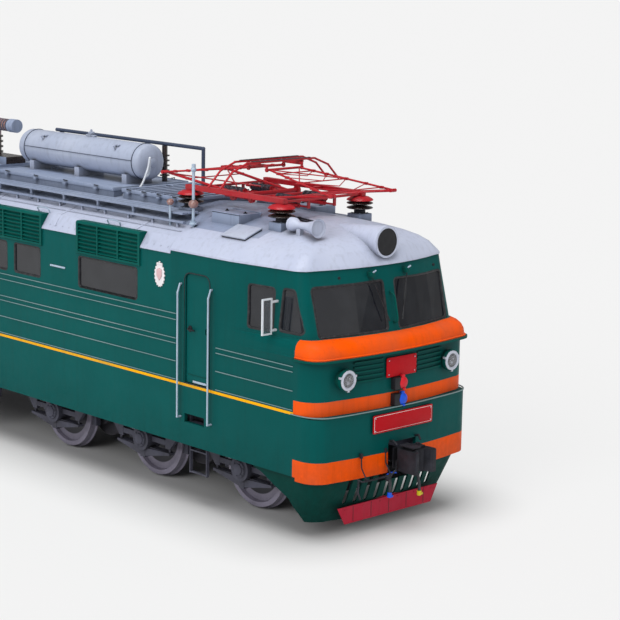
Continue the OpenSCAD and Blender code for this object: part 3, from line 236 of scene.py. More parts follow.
frameEnamel = paint("deflector_frame_white_enamel", colour="#dfe5ec", faded="#ffffff", fade=0.2, streak=0.08,
                    dustAmount=0.0, soot=0.4, rough=0.35)
bogiePaint = paint("bogie_matt_paint_oily_blue_grey", colour="#424351", faded="#585a6e", fade=0.5, patch=3.0,
                   streak=0.35, dust="#5f5b56", dustTop=1.0, dustAmount=0.25, soot=0.9, rough=0.55,
                   roughSpread=0.25, grain=120.0, grainDepth=0.0012, coat=0.0)
motorPaint = paint("motor_case_cast_paint", colour="#30303b", faded="#4a4a57", fade=0.35, patch=4.0,
                   streak=0.3,
                   dustTop=1.4, dustAmount=0.35, soot=0.9, rough=0.62, grain=90.0, grainDepth=0.0018,
                   coat=0.0)
couplerIron = paint("coupler_cast_iron_black", colour="#25262d", faded="#4a4b55", fade=0.4, patch=5.0,
                    streak=0.2, dustAmount=0.15, soot=0.7, rough=0.5, roughSpread=0.25, grain=90.0,
                    grainDepth=0.002, coat=0.0, metallic=0.35)
redEnamel = paint("pantograph_red_enamel", colour="#b41522", faded="#c8323e", fade=0.22, patch=4.0,
                  streak=0.3,
                  dustAmount=0.0, soot=0.7, rough=0.38, coat=0.2)
plateRed = paint("number_plate_crimson_enamel", colour="#b80012", faded="#c0102a", fade=0.2, shine=0.12,
                 patch=5.0,
                 streak=0.06, dustAmount=0.0, soot=0.4, rough=0.34, coat=0.03)
plateEdge = paint("number_plate_white_edge", colour="#e8e6e6", faded="#ffffff", fade=0.2, streak=0.08,
                  dustAmount=0.0, soot=0.4, rough=0.3)
guardRed = paint("guard_plate_dull_red_paint", colour="#b51a36", faded="#c03a52", fade=0.35, patch=2.5,
                 streak=0.2, dustAmount=0.08, dustTop=0.6, soot=0.5, rough=0.55, roughSpread=0.2, shine=0.15)
crestWhite = paint("crest_white_enamel", colour="#ece7ea", faded="#ffffff", fade=0.2, streak=0.06,
                   dustAmount=0.0, soot=0.4, rough=0.35)
crestPink = paint("crest_shield_pale_pink_enamel", colour="#d9b3b6", faded="#ecd6d6", fade=0.2, streak=0.06,
                  dustAmount=0.0, soot=0.6, rough=0.35)
socketRed = paint("socket_cap_red_plastic", colour="#d5001f", fade=0.1, streak=0.05, dustAmount=0.0, soot=0.4,
                  rough=0.32)
socketBlue = paint("socket_cap_blue_plastic", colour="#0a50d8", faded="#3f7ae8", fade=0.1, streak=0.05,
                   dustAmount=0.0, soot=0.4, rough=0.32)
cockYellow = paint("cock_handle_yellow_paint", colour="#d9c80f", faded="#efe36a", fade=0.2, patch=12.0,
                   streak=0.15, dustAmount=0.1, soot=0.5, rough=0.4)
blackPaint = paint("black_satin_paint", colour="#14151a", faded="#33343c", fade=0.25, streak=0.1, soot=0.3,
                   rough=0.45)
cabLining = paint("cab_lining_beige_green_enamel", colour="#8c978a", faded="#aab3a4", fade=0.2, streak=0.05,
                  dustAmount=0.0, soot=0.5, rough=0.5)
deskPaint = paint("desk_hammered_grey_paint", colour="#5b6468", faded="#7c868a", fade=0.2, streak=0.0,
                  dustAmount=0.0, soot=0.6, rough=0.4, grain=60.0, grainDepth=0.001)
silver = paint("lamp_rim_silver_paint", colour="#c3c8d6", faded="#eef0f6", fade=0.2, patch=10.0, streak=0.1,
               dustAmount=0.0, soot=0.5, rough=0.32, metallic=0.3)


def metal(name, hexColour, rough, scratch=60.0, stretch=(1, 1, 1), dark="#2c2826", darkShare=0.35, soot=0.5):
    # bare metal: fine scratches across, stained patches, painted shade in corners
    made, tree, shader, place = newFinish(name)
    stain = ramp(tree, noiseOf(tree, place, 5.0, 5.0, 0.65), 0.45, 0.75, 0.0, darkShare)
    colour = mixed(tree, stain, linear(hexColour), linear(dark))
    # painted shade in corners, from the ambient occlusion
    link(tree, sooted(tree, colour, 0.1, soot, "#141312"), shader, "Base Color")
    lines = noiseOf(tree, place, scratch, 3.0, 0.6, stretch)
    link(tree, ramp(tree, lines, 0.3, 0.7, rough - 0.08, rough + 0.16), shader, "Roughness")
    shader.inputs["Metallic"].default_value = 0.85
    bumped(tree, shader, lines, 0.4, 0.0006)
    return made


brightSteel = metal("contact_strip_bright_steel", "#b9b7bd", 0.26, 120.0, (8, 1, 8), darkShare=0.2)
springSteel = metal("spring_steel_dark", "#55505a", 0.42, 60.0, darkShare=0.5)
chrome = metal("lamp_reflector_chrome", "#d9dbe2", 0.12, 30.0, darkShare=0.1, soot=0.2)


def porcelain(name, hexColour, shine):
    # glazed porcelain: thick clear glaze, slight waviness, soot in patches
    made, tree, shader, place = newFinish(name)
    cloud = ramp(tree, noiseOf(tree, place, 11.0, 4.0), 0.4, 0.7, 0.0, 0.5)
    link(tree, mixed(tree, cloud, linear(hexColour), linear("#15100f")), shader, "Base Color")
    link(tree, ramp(tree, noiseOf(tree, place, 24.0, 3.0), 0.3, 0.7, shine, shine + 0.22), shader,
         "Roughness")
    shader.inputs["IOR"].default_value = 1.56
    shader.inputs["Coat Weight"].default_value = 0.4
    bumped(tree, shader, noiseOf(tree, place, 30.0, 2.0), 0.4, 0.0012)
    return made


darkPorcelain = porcelain("insulator_dark_glazed_porcelain", "#2e2320", 0.16)
pinkPorcelain = porcelain("insulator_rose_glazed_porcelain", "#9b746e", 0.2)


def rubber(name, hexColour, rough):
    # moulded rubber: matt, chalky bloom in patches, fine mould grain
    made, tree, shader, place = newFinish(name)
    bloom = ramp(tree, noiseOf(tree, place, 18.0, 4.0), 0.45, 0.8, 0.0, 0.35)
    link(tree, mixed(tree, bloom, linear(hexColour), linear("#5a5a5f")), shader, "Base Color")
    link(tree, ramp(tree, noiseOf(tree, place, 50.0, 3.0), 0.3, 0.7, rough, rough + 0.2), shader, "Roughness")
    shader.inputs["IOR"].default_value = 1.52
    bumped(tree, shader, noiseOf(tree, place, 300.0, 2.0), 0.4, 0.0006)
    return made


sealRubber = rubber("window_seal_black_rubber", "#17171b", 0.5)
hoseRubber = rubber("brake_hose_rubber", "#2a2b31", 0.48)
seatLeather = rubber("seat_brown_leatherette", "#4b3324", 0.42)


def glass(name, hexColour, clear, film):
    # flat window glass over a dark room: a clear pane with a thin film of dust in patches
    made, tree, shader, place = newFinish(name)
    overlayShare = ramp(tree, noiseOf(tree, place, 3.0, 4.0), 0.4, 0.75, 0.0, film)
    link(tree, mixed(tree, overlayShare, linear(hexColour), linear("#6c7078")), shader, "Base Color")
    link(tree, ramp(tree, noiseOf(tree, place, 8.0, 4.0), 0.3, 0.75, 0.03, 0.16), shader, "Roughness")
    shader.inputs["IOR"].default_value = 1.5
    shader.inputs["Transmission Weight"].default_value = clear
    bumped(tree, shader, noiseOf(tree, place, 1.6, 2.0), 0.3, 0.002)
    return made


wheelValues = dict(axleHeight=0.625, rimInner=0.43, rimOuter=0.64, rim="#8f8a9c", disc="#2c2b35", shine=0.25)


def wheelFinish(v):
    # a turned steel rim round a dark painted disc, told apart by the distance from the nearest axle
    made = metal("wheel_rim_steel_and_dark_disc", v["rim"], 0.36, 40.0, (1, 14, 1), darkShare=0.25)
    tree = made.node_tree
    shader = tree.nodes["Principled BSDF"]
    axes = add(tree, "ShaderNodeSeparateXYZ", {0: add(tree, "ShaderNodeTexCoord").outputs["Object"]}).outputs
    along = calc(tree, "SUBTRACT", calc(tree, "ABSOLUTE", axes[0]), bogieX)
    wrapped = add(tree, "ShaderNodeMath", {0: along, 1: axleSpacing / 2, 2: -axleSpacing / 2},
                  operation="WRAP")
    up = calc(tree, "SUBTRACT", axes[2], v["axleHeight"] + railTop)
    radius = calc(tree, "SQRT",
                  calc(tree, "ADD", calc(tree, "MULTIPLY", wrapped.outputs[0], wrapped.outputs[0]),
                       calc(tree, "MULTIPLY", up, up)))
    ring = calc(tree, "MULTIPLY", ramp(tree, radius, v["rimInner"], v["rimInner"] + 0.012),
                ramp(tree, radius, v["rimOuter"] + 0.05, v["rimOuter"] + 0.03))
    steel = shader.inputs["Base Color"].links[0].from_socket
    link(tree, mixed(tree, ring, linear(v["disc"]), steel), shader, "Base Color")
    link(tree, ramp(tree, ring, 0.0, 1.0, 0.1, v["shine"]), shader, "Metallic")
    return made


wheelPaint = wheelFinish(wheelValues)
windowGlass = glass("window_glass_dark_tint", "#1d2028", 0.4, 0.12)
paleGlass = glass("deflector_pane_clear_glass", "#cfd6dc", 0.92, 0.1)
lampGlass = glass("lamp_lens_clear_glass", "#e8eaf0", 0.9, 0.05)
headGlass = glass("headlamp_lens_smoked_glass", "#0e0f13", 0.25, 0.1)
print("materials", len(bpy.data.materials))


# Camera, light, floor

cameraValues = dict(place=(27.5872, -18.7869, 8.0221), yaw=2.3771, pitch=-0.1865, roll=0.0181, lens=109.16)


def makeCamera(v):
    forward = Vector((math.cos(v["pitch"]) * math.cos(v["yaw"]), math.cos(v["pitch"]) * math.sin(v["yaw"]),
                      math.sin(v["pitch"])))
    right = Vector((math.sin(v["yaw"]), -math.cos(v["yaw"]), 0))
    up = right.cross(forward)
    turnedRight = right * math.cos(v["roll"]) + up * math.sin(v["roll"])
    turnedUp = up * math.cos(v["roll"]) - right * math.sin(v["roll"])
    data = bpy.data.cameras.new("camera")
    data.lens = v["lens"]
    data.sensor_width = 36
    data.clip_start = 0.5
    data.clip_end = 2000
    camera = bpy.data.objects.new("camera", data)
    turn = Matrix((turnedRight, turnedUp, -forward)).transposed()
    camera.matrix_world = Matrix.Translation(v["place"]) @ turn.to_4x4()
    scene.collection.objects.link(camera)
    scene.camera = camera


makeCamera(cameraValues)

# soft suns: strength, softness in degrees, and where each one stands seen from the machine
suns = {
    "top_softbox": (1.9, 40, (0.06, -0.25, 1.0)),
    "side_softbox": (1.2, 36, (0.22, -1.0, 0.6)),
    "front_softbox": (0.28, 50, (1.0, 0.15, 0.4)),
}
for name, (strength, softness, toward) in suns.items():
    data = bpy.data.lights.new(name, "SUN")
    data.energy = strength
    data.angle = math.radians(softness)
    lamp = bpy.data.objects.new(name, data)
    lamp.matrix_world = Vector(toward).to_track_quat("Z", "Y").to_matrix().to_4x4()
    scene.collection.objects.link(lamp)

worldValues = dict(colour=(1, 1, 1, 1), strength=0.3)
world = bpy.data.worlds.new("studio")
scene.world = world
world.use_nodes = True
background = world.node_tree.nodes["Background"]
background.inputs["Color"].default_value = worldValues["colour"]
background.inputs["Strength"].default_value = worldValues["strength"]
scene.view_settings.view_transform = "Standard"
scene.view_settings.look = "None"


# the bright, glowing part of the floor starts this far beyond the machine's own rectangle on the floor:
# painted light, with a painted shadow inside it
floorValues = dict(size=600.0, halfLong=9.0, halfWide=1.1, reach=2.0, near="#c4c4c4", far="#8a8a8a",
                   glow=0.62)


def makeFloor(v):
    size = v["size"]
    mesh = bpy.data.meshes.new("floor")
    mesh.from_pydata([(-size, -size, 0), (size, -size, 0), (size, size, 0), (-size, size, 0)], [],
                     [(0, 1, 2, 3)])
    floor = bpy.data.objects.new("floor", mesh)
    scene.collection.objects.link(floor)
    finish, tree, shader, place = newFinish("floor_glow_and_painted_shadow")
    axes = add(tree, "ShaderNodeSeparateXYZ", {0: place}).outputs
    # away from the machine the floor glows a little, painted light, so its own soft shadow stays close to it;
    # near the machine it has no glow, a painted shadow the shape of its rectangle
    squares = []
    for k, half in ((0, v["halfLong"]), (1, v["halfWide"])):
        beside = calc(tree, "MAXIMUM", calc(tree, "SUBTRACT", calc(tree, "ABSOLUTE", axes[k]), half))
        squares.append(calc(tree, "MULTIPLY", beside, beside))
    far = calc(tree, "SQRT", calc(tree, "ADD", *squares))
    away = add(tree, "ShaderNodeMapRange", {"Value": far, "From Min": 0.0, "From Max": v["reach"]},
               interpolation_type="SMOOTHSTEP").outputs[0]
    link(tree, mixed(tree, away, linear(v["near"]), linear(v["far"])), shader, "Base Color")
    shader.inputs["Emission Color"].default_value = (1, 1, 1, 1)
    # painted light and shadow: glow far from the machine, none near it
    link(tree, ramp(tree, away, 0.0, 1.0, 0.0, v["glow"]), shader, "Emission Strength")
    shader.inputs["Roughness"].default_value = 1.0
    shader.inputs["Specular IOR Level"].default_value = 0.0
    mesh.materials.append(finish)


makeFloor(floorValues)
print("camera, lamps and floor")


# Finishes of the CAD nodes

nodeFinish = {
    "underframe": bogiePaint, "right_side_wall": greenEnamel, "left_side_wall": greenEnamel,
    "front_cab": cabEnamel, "rear_cab": cabEnamel, "main_roof": roofEnamel, "cab_roofs": roofEnamel,
    "cab_partitions": cabLining, "window_glass": windowGlass, "pilots": pilotGreen, "couplers": couplerIron,
    "marker_lamps": plainGreen, "headlamps": roofEnamel, "roof_tanks": tankEnamel, "roof_hatches": gearEnamel,
    "roof_rails": roofEnamel, "pantograph_insulators": darkPorcelain, "roof_conductors": barEnamel,
    "main_breaker": gearEnamel, "horns": roofEnamel, "transformer": motorPaint, "driver_desks": deskPaint,
    "driver_seats": seatLeather, "handrails": railEnamel, "louvres": louvreGreen, "brake_hoses": hoseRubber,
    "entry_steps": bogiePaint, "battery_boxes": bogiePaint, "wind_deflectors": frameEnamel,
    "pantograph_bases": redEnamel}
for name in doorNames:
    nodeFinish[name] = greenEnamel
for end, endName in endNames:
    for part, finish in (("bogie_frame", bogiePaint), ("suspension", bogiePaint),
                         ("traction_motors", motorPaint), ("brake_gear", bogiePaint)):
        nodeFinish["%s_%s" % (endName, part)] = finish
    for part in ("lower_arm_a", "lower_arm_b", "upper_arm_a", "upper_arm_b", "head"):
        nodeFinish["%s_panto_%s" % (endName, part)] = redEnamel
for number in range(1, 7):
    nodeFinish["wheelset_%d" % number] = wheelPaint


def bodyOfNode(name):
    return frame["nodes"][name]["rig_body"]


def finishCopy(name, angle=32.0, parts=()):
    # a merged, smooth-shaded stand-in for a CAD node, so that curved sheet metal shades as one surface
    source = frame["nodes"][name]
    mesh = source.data.copy()
    mesh.name = name + "_skin"
    work = bmesh.new()
    work.from_mesh(mesh)
    bmesh.ops.remove_doubles(work, verts=work.verts, dist=0.00004)
    bmesh.ops.dissolve_degenerate(work, dist=0.00002, edges=work.edges)
    work.to_mesh(mesh)
    work.free()
    if "custom_normal" in mesh.attributes:
        mesh.attributes.remove(mesh.attributes["custom_normal"])
    mesh.materials.clear()
    mesh.materials.append(nodeFinish[name])
    for finish, chosen in parts:
        mesh.materials.append(finish)
        number = len(mesh.materials) - 1
        for face in mesh.polygons:
            if chosen(face.center, face.normal):
                face.material_index = number
    mesh.shade_smooth()
    mesh.set_sharp_from_angle(angle=math.radians(angle))
    skin = bpy.data.objects.new(name + "_skin", mesh)
    scene.collection.objects.link(skin)
    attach(skin, bodyOfNode(name))
    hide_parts(name)


smoothNodes = ["front_cab", "rear_cab", "cab_roofs", "main_roof", "pilots", "headlamps", "roof_tanks",
               "roof_hatches", "wind_deflectors", "roof_conductors", "main_breaker", "horns"]
for name, finish in nodeFinish.items():
    mesh = frame["nodes"][name].data
    mesh.materials.clear()
    mesh.materials.append(finish)
# parts of one node that carry another finish, told apart by where their faces lie
otherFinish = {
    "pilots": [(guardRed, lambda c, n: c.z < 0.46 and abs(c.y) < 1.03 and 9.675 < abs(c.x) < 9.7)],
    "wind_deflectors": [(paleGlass, lambda c, n: abs(abs(c.x) - 8.9) < 0.0045 and abs(n.x) > 0.9)],
    "roof_conductors": [
        (darkPorcelain, lambda c, n: abs(c.x) < 4.2 and c.z < 4.95 and abs(c.y) > 0.395),
        (railEnamel, lambda c, n: abs(c.x) > 6.6)],
    "main_breaker": [(pinkPorcelain, lambda c, n: abs(n.x) < 0.98 and -0.1 < c.x < 0.45 and c.z > 4.86),
                     (darkPorcelain, lambda c, n: c.z < 4.84 and abs(c.y) < 0.16)],
}
for name in smoothNodes:
    finishCopy(name, parts=otherFinish.get(name, ()))
print("finishes on", len(nodeFinish), "nodes")


# Making pieces

class Piece:
    # collects small solids with their own finishes and turns them into one mesh on one body
    def __init__(self, name, body="body", slotName=None):
        self.name, self.body, self.slotName = name, body, slotName
        self.work = bmesh.new()
        self.finishes = []

    def index(self, finish):
        if finish not in self.finishes:
            self.finishes.append(finish)
        return self.finishes.index(finish)

    def take(self, part, finish, turn=None):
        if turn is not None:
            bmesh.ops.transform(part, matrix=turn, verts=part.verts)
        bmesh.ops.recalc_face_normals(part, faces=part.faces)
        number = self.index(finish)
        for face in part.faces:
            face.material_index = number
        mesh = bpy.data.meshes.new("part")
        part.to_mesh(mesh)
        part.free()
        self.work.from_mesh(mesh)
        bpy.data.meshes.remove(mesh)

    def box(self, low, high, finish, bevel=0.006, turn=None):
        part = bmesh.new()
        bmesh.ops.create_cube(part, size=1)
        low, high = Vector(map(min, low, high)), Vector(map(max, low, high))
        size = high - low
        bmesh.ops.scale(part, vec=size, verts=part.verts)
        bmesh.ops.translate(part, vec=(low + high) / 2, verts=part.verts)
        edge = min(bevel, min(size) * 0.35)
        bmesh.ops.bevel(part, geom=part.edges[:], offset=edge, segments=2, affect="EDGES", profile=0.6)
        self.take(part, finish, turn)

    def tube(self, points, radius, finish, sides=10, cap=True):
        # a round bar along points, rings turned with the path
        points = [Vector(p) for p in points]
        part = bmesh.new()
        rings = []
        side = None
        for i, point in enumerate(points):
            along = (points[min(i + 1, len(points) - 1)] - points[max(i - 1, 0)]).normalized()
            if side is None:
                side = along.cross(Vector((0, 0, 1)) if abs(along.z) < 0.9 else Vector((1, 0,
                                                                                        0))).normalized()
            side = (side - along * side.dot(along)).normalized()
            other = along.cross(side)
            r = radius[i] if isinstance(radius, (list, tuple)) else radius
            rings.append([part.verts.new(point + side * (r * math.cos(a)) + other * (r * math.sin(a)))
                          for a in around(sides)])
        for a, b in zip(rings, rings[1:]):
            for k in range(sides):
                part.faces.new((a[k], a[(k + 1) % sides], b[(k + 1) % sides], b[k]))
        if cap:
            part.faces.new(rings[0])
            part.faces.new(rings[-1])
        self.take(part, finish)

    def turned(self, profile, origin, axis, finish, sides=32):
        # profile is (radius, along axis) pairs, turned round the axis
        part = bmesh.new()
        rings = []
        for radius, along in profile:
            if radius < 0.0004:
                rings.append([part.verts.new((0, 0, along))])
            else:
                rings.append([part.verts.new((radius * math.cos(a), radius * math.sin(a), along))
                              for a in around(sides)])
        for a, b in zip(rings, rings[1:]):
            for k in range(sides):
                j = (k + 1) % sides
                if len(a) == 1 and len(b) == 1:
                    continue
                if len(a) == 1:
                    part.faces.new((a[0], b[k], b[j]))
                elif len(b) == 1:
                    part.faces.new((a[k], a[j], b[0]))
                else:
                    part.faces.new((a[k], a[j], b[j], b[k]))
        for ring in (rings[0], rings[-1]):
            if len(ring) > 1 and (profile[0] != profile[-1]):
                part.faces.new(ring)
        turn = Vector(axis).to_track_quat("Z", "Y").to_matrix().to_4x4()
        bmesh.ops.remove_doubles(part, verts=part.verts, dist=0.00005)
        self.take(part, finish, Matrix.Translation(origin) @ turn)

    def slab(self, outline, depth, finish, turn, bevel=0.004):
        # a flat outline in its own XY, depth thick along its Z, rounded at the edge
        part = bmesh.new()
        low = [part.verts.new((u, v, 0)) for u, v in outline]
        face = part.faces.new(low)
        made = bmesh.ops.extrude_face_region(part, geom=[face])
        bmesh.ops.translate(part, vec=(0, 0, depth),
                            verts=[e for e in made["geom"] if isinstance(e, bmesh.types.BMVert)])
        if bevel:
            rim = [e for e in part.edges if all(v.co.z > depth * 0.5 for v in e.verts)]
            bmesh.ops.bevel(part, geom=rim, offset=min(bevel, depth * 0.45), segments=2, affect="EDGES",
                            profile=0.6)
        self.take(part, finish, turn)

    def again(self):
        # a second set of everything so far: its corners and its faces
        work = self.work
        made = bmesh.ops.duplicate(work, geom=work.verts[:] + work.edges[:] + work.faces[:])["geom"]
        return [[e for e in made if isinstance(e, kind)] for kind in (bmesh.types.BMVert, bmesh.types.BMFace)]

    def done(self, bothEnds=False, bothSides=False, angle=35.0, replaces=()):
        work = self.work
        if bothSides:
            # an image across the middle plane, with its faces turned back
            verts, faces = self.again()
            bmesh.ops.scale(work, vec=(1, -1, 1), verts=verts)
            bmesh.ops.reverse_faces(work, faces=faces)
        if bothEnds:
            bmesh.ops.rotate(work, cent=(0, 0, 0), matrix=Matrix.Rotation(math.pi, 3, "Z"),
                             verts=self.again()[0])
        mesh = bpy.data.meshes.new(self.name)
        work.to_mesh(mesh)
        work.free()
        for finish in self.finishes:
            mesh.materials.append(finish)
        mesh.shade_smooth()
        mesh.set_sharp_from_angle(angle=math.radians(angle))
        made = bpy.data.objects.new(self.name, mesh)
        scene.collection.objects.link(made)
        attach(made, self.body)
        if replaces:
            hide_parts(*replaces)
        return made


def roundedOutline(wide, high, corner, steps=6):
    made = []
    for cx, cy, start in ((wide / 2 - corner, high / 2 - corner, 0),
                          (corner - wide / 2, high / 2 - corner, 90),
                          (corner - wide / 2, corner - high / 2, 180),
                          (wide / 2 - corner, corner - high / 2, 270)):
        for k in range(steps + 1):
            a = math.radians(start + 90 * k / steps)
            made.append((cx + corner * math.cos(a), cy + corner * math.sin(a)))
    return made


def facing(place, outward, up=(0, 0, 1)):
    # local Z points outward, local X lies level
    z = Vector(outward).normalized()
    x = Vector(up).cross(z).normalized()
    y = z.cross(x)
    return Matrix.Translation(place) @ Matrix((x, y, z)).transposed().to_4x4()


def smoothPath(points, steps=6):
    points = [Vector(p) for p in points]
    made = []
    for i in range(len(points) - 1):
        a, b, c, d = points[max(i - 1, 0)], points[i], points[i + 1], points[min(i + 2, len(points) - 1)]
        for k in range(steps):
            t = k / steps
            made.append(0.5 * (2 * b + (c - a) * t + (2 * a - 5 * b + 4 * c - d) * t * t
                               + (3 * b - a - 3 * c + d) * t ** 3))
    return made + [points[-1]]


# Geometry node trees

def newTree(name, sockets):
    tree = bpy.data.node_groups.new(name, "GeometryNodeTree")
    tree.interface.new_socket("Geometry", in_out="INPUT", socket_type="NodeSocketGeometry")
    tree.interface.new_socket("Geometry", in_out="OUTPUT", socket_type="NodeSocketGeometry")
    for label, kind in sockets:
        tree.interface.new_socket(label, in_out="INPUT", socket_type="NodeSocket" + kind)
    start = tree.nodes.new("NodeGroupInput")
    return tree, start.outputs


def closeTree(tree, geometry, finish, given=None):
    if given:
        joined = add(tree, "GeometryNodeJoinGeometry")
        tree.links.new(given["Geometry"], joined.inputs[0])
        tree.links.new(geometry, joined.inputs[0])
        geometry = joined.outputs[0]
    real = add(tree, "GeometryNodeRealizeInstances", {"Geometry": geometry})
    painted = add(tree, "GeometryNodeSetMaterial", {"Geometry": real.outputs[0], "Material": finish})
    end = tree.nodes.new("NodeGroupOutput")
    tree.links.new(painted.outputs[0], end.inputs[0])


def sweepTree():
    # a flat bar that follows each curve
    tree, given = newTree("bar_along_path", (("Width", "Float"), ("Height", "Float"), ("Finish", "Material")))
    section = add(tree, "GeometryNodeCurvePrimitiveQuadrilateral", {"Width": given["Width"],
                                                                    "Height": given["Height"]})
    swept = add(tree, "GeometryNodeCurveToMesh", {"Curve": given["Geometry"],
                                                  "Profile Curve": section.outputs[0], "Fill Caps": True})
    closeTree(tree, swept.outputs[0], given["Finish"])
    return tree


def boltTree():
    # dome heads at even spacing along each curve, standing out along Direction
    tree, given = newTree("bolts_along_path", (("Spacing", "Float"), ("Radius", "Float"), ("Proud", "Float"),
                                               ("Direction", "Vector"), ("Finish", "Material")))
    points = add(tree, "GeometryNodeCurveToPoints", {"Curve": given["Geometry"], "Length": given["Spacing"]},
                 mode="LENGTH")
    head = add(tree, "GeometryNodeMeshUVSphere", {"Segments": 10, "Rings": 6, "Radius": 1.0})
    turn = add(tree, "FunctionNodeAlignRotationToVector", {"Vector": given["Direction"]}, axis="Z")
    size = add(tree, "ShaderNodeCombineXYZ", {"X": given["Radius"], "Y": given["Radius"],
                                              "Z": given["Proud"]})
    spread = add(tree, "GeometryNodeInstanceOnPoints", {"Points": points.outputs[0],
                                                        "Instance": head.outputs[0],
                                                        "Rotation": turn.outputs[0],
                                                        "Scale": size.outputs[0]})
    closeTree(tree, spread.outputs[0], given["Finish"])
    return tree


def slatTree():
    # equal boards along a line of points
    tree, given = newTree("boards_in_row", (("Count", "Int"), ("Start", "Vector"), ("Step", "Vector"),
                                            ("Size", "Vector"), ("Finish", "Material")))
    line = add(tree, "GeometryNodeMeshLine", {"Count": given["Count"], "Start Location": given["Start"],
                                              "Offset": given["Step"]}, mode="OFFSET")
    board = add(tree, "GeometryNodeMeshCube", {"Size": given["Size"]})
    spread = add(tree, "GeometryNodeInstanceOnPoints", {"Points": line.outputs[0],
                                                        "Instance": board.outputs[0]})
    closeTree(tree, spread.outputs[0], given["Finish"], given)
    return tree


def coilTree():
    # a round wire spring along X between two points
    tree, given = newTree("coil_spring", (("Turns", "Float"), ("Coil Radius", "Float"), ("Length", "Float"),
                                          ("Wire Radius", "Float"), ("Place", "Vector"),
                                          ("Finish", "Material")))
    coil = add(tree, "GeometryNodeCurveSpiral", {"Resolution": 14, "Rotations": given["Turns"],
                                                 "Start Radius": given["Coil Radius"],
                                                 "End Radius": given["Coil Radius"],
                                                 "Height": given["Length"]})
    wire = add(tree, "GeometryNodeCurvePrimitiveCircle", {"Resolution": 6, "Radius": given["Wire Radius"]})
    swept = add(tree, "GeometryNodeCurveToMesh", {"Curve": coil.outputs[0], "Profile Curve": wire.outputs[0],
                                                  "Fill Caps": True})
    turned = add(tree, "GeometryNodeTransform", {"Geometry": swept.outputs[0],
                                                 "Rotation": (0, math.pi / 2, 0),
                                                 "Translation": given["Place"]})
    closeTree(tree, turned.outputs[0], given["Finish"], given)
    return tree


def leafTree():
    # an underslung leaf spring: each lower leaf is shorter
    tree, given = newTree("leaf_spring",
                          (("Leaves", "Int"), ("Half Length", "Float"), ("Leaf Height", "Float"),
                           ("Leaf Width", "Float"), ("Place", "Vector"), ("Finish", "Material")))
    line = add(tree, "GeometryNodeMeshLine", {"Count": given["Leaves"],
                                              "Offset": (0, 0, -1)}, mode="OFFSET")
    lowered = add(tree, "GeometryNodeTransform", {"Geometry": line.outputs[0]})
    drop = add(tree, "ShaderNodeCombineXYZ", {"X": 1.0, "Y": 1.0, "Z": given["Leaf Height"]})
    tree.links.new(drop.outputs[0], lowered.inputs["Scale"])
    number = add(tree, "GeometryNodeInputIndex").outputs[0]
    share = add(tree, "ShaderNodeMath", {0: number, 1: given["Leaves"]}, operation="DIVIDE").outputs[0]
    taper = add(tree, "ShaderNodeMath", {0: share, 1: -0.82, 2: 1.0}, operation="MULTIPLY_ADD").outputs[0]
    length = add(tree, "ShaderNodeMath", {0: taper, 1: given["Half Length"]}, operation="MULTIPLY").outputs[0]
    double = add(tree, "ShaderNodeMath", {0: length, 1: 2.0}, operation="MULTIPLY").outputs[0]
    thick = add(tree, "ShaderNodeMath", {0: given["Leaf Height"], 1: 0.86}, operation="MULTIPLY").outputs[0]
    size = add(tree, "ShaderNodeCombineXYZ", {"X": double, "Y": given["Leaf Width"], "Z": thick})
    leaf = add(tree, "GeometryNodeMeshCube", {"Size": (1, 1, 1), "Vertices X": 13})
    spread = add(tree, "GeometryNodeInstanceOnPoints", {"Points": lowered.outputs[0],
                                                        "Instance": leaf.outputs[0],
                                                        "Scale": size.outputs[0]})
    real = add(tree, "GeometryNodeRealizeInstances", {"Geometry": spread.outputs[0]})
    moved = add(tree, "GeometryNodeTransform", {"Geometry": real.outputs[0], "Translation": given["Place"]})
    closeTree(tree, moved.outputs[0], given["Finish"], given)
    return tree


trees = {"sweep": sweepTree(), "bolts": boltTree(), "slats": slatTree(), "coil": coilTree(),
         "leaf": leafTree()}


def growMesh(treeName, values, paths=(), cyclic=False):
    # runs one tree on the paths and gives back the plain mesh
    if paths:
        source = bpy.data.curves.new("paths", "CURVE")
        source.dimensions = "3D"
        source.twist_mode = "Z_UP"
        for path in paths:
            spline = source.splines.new("POLY")
            spline.points.add(len(path) - 1)
            for point, place in zip(spline.points, path):
                point.co = (*place, 1)
            spline.use_cyclic_u = cyclic
    else:
        source = bpy.data.meshes.new("empty")
    holder = bpy.data.objects.new("holder", source)
    scene.collection.objects.link(holder)
    modifier = holder.modifiers.new("grow", "NODES")
    modifier.node_group = trees[treeName]
    for item in trees[treeName].interface.items_tree:
        if item.in_out == "INPUT" and item.name in values:
            modifier[item.identifier] = values[item.name]
    holder.update_tag()
    bpy.context.view_layer.update()
    evaluated = holder.evaluated_get(bpy.context.evaluated_depsgraph_get())
    mesh = bpy.data.meshes.new_from_object(evaluated)
    bpy.data.objects.remove(holder)
    return mesh


def growPiece(name, body, runs, bothEnds=False, bothSides=False, angle=35.0, replaces=()):
    # runs is a list of (tree, values, paths, cyclic); they join into one plain mesh on one body
    work = bmesh.new()
    finishes = []
    for run in runs:
        treeName, values = run[:2]
        paths = run[2] if len(run) > 2 else ()
        cyclic = run[3] if len(run) > 3 else False
        mesh = growMesh(treeName, values, paths, cyclic)
        if values["Finish"] not in finishes:
            finishes.append(values["Finish"])
        before = len(work.faces)
        work.from_mesh(mesh)
        work.faces.ensure_lookup_table()
        for face in work.faces[before:]:
            face.material_index = finishes.index(values["Finish"])
        bpy.data.meshes.remove(mesh)
    made = Piece(name, body)
    made.work.free()
    made.work = work
    made.finishes = finishes
    return made.done(bothEnds, bothSides, angle, replaces)


print("tools and trees", len(trees))


# Window seals and panes

def lift(z):
    # heights measured from the rail head
    return z + railTop


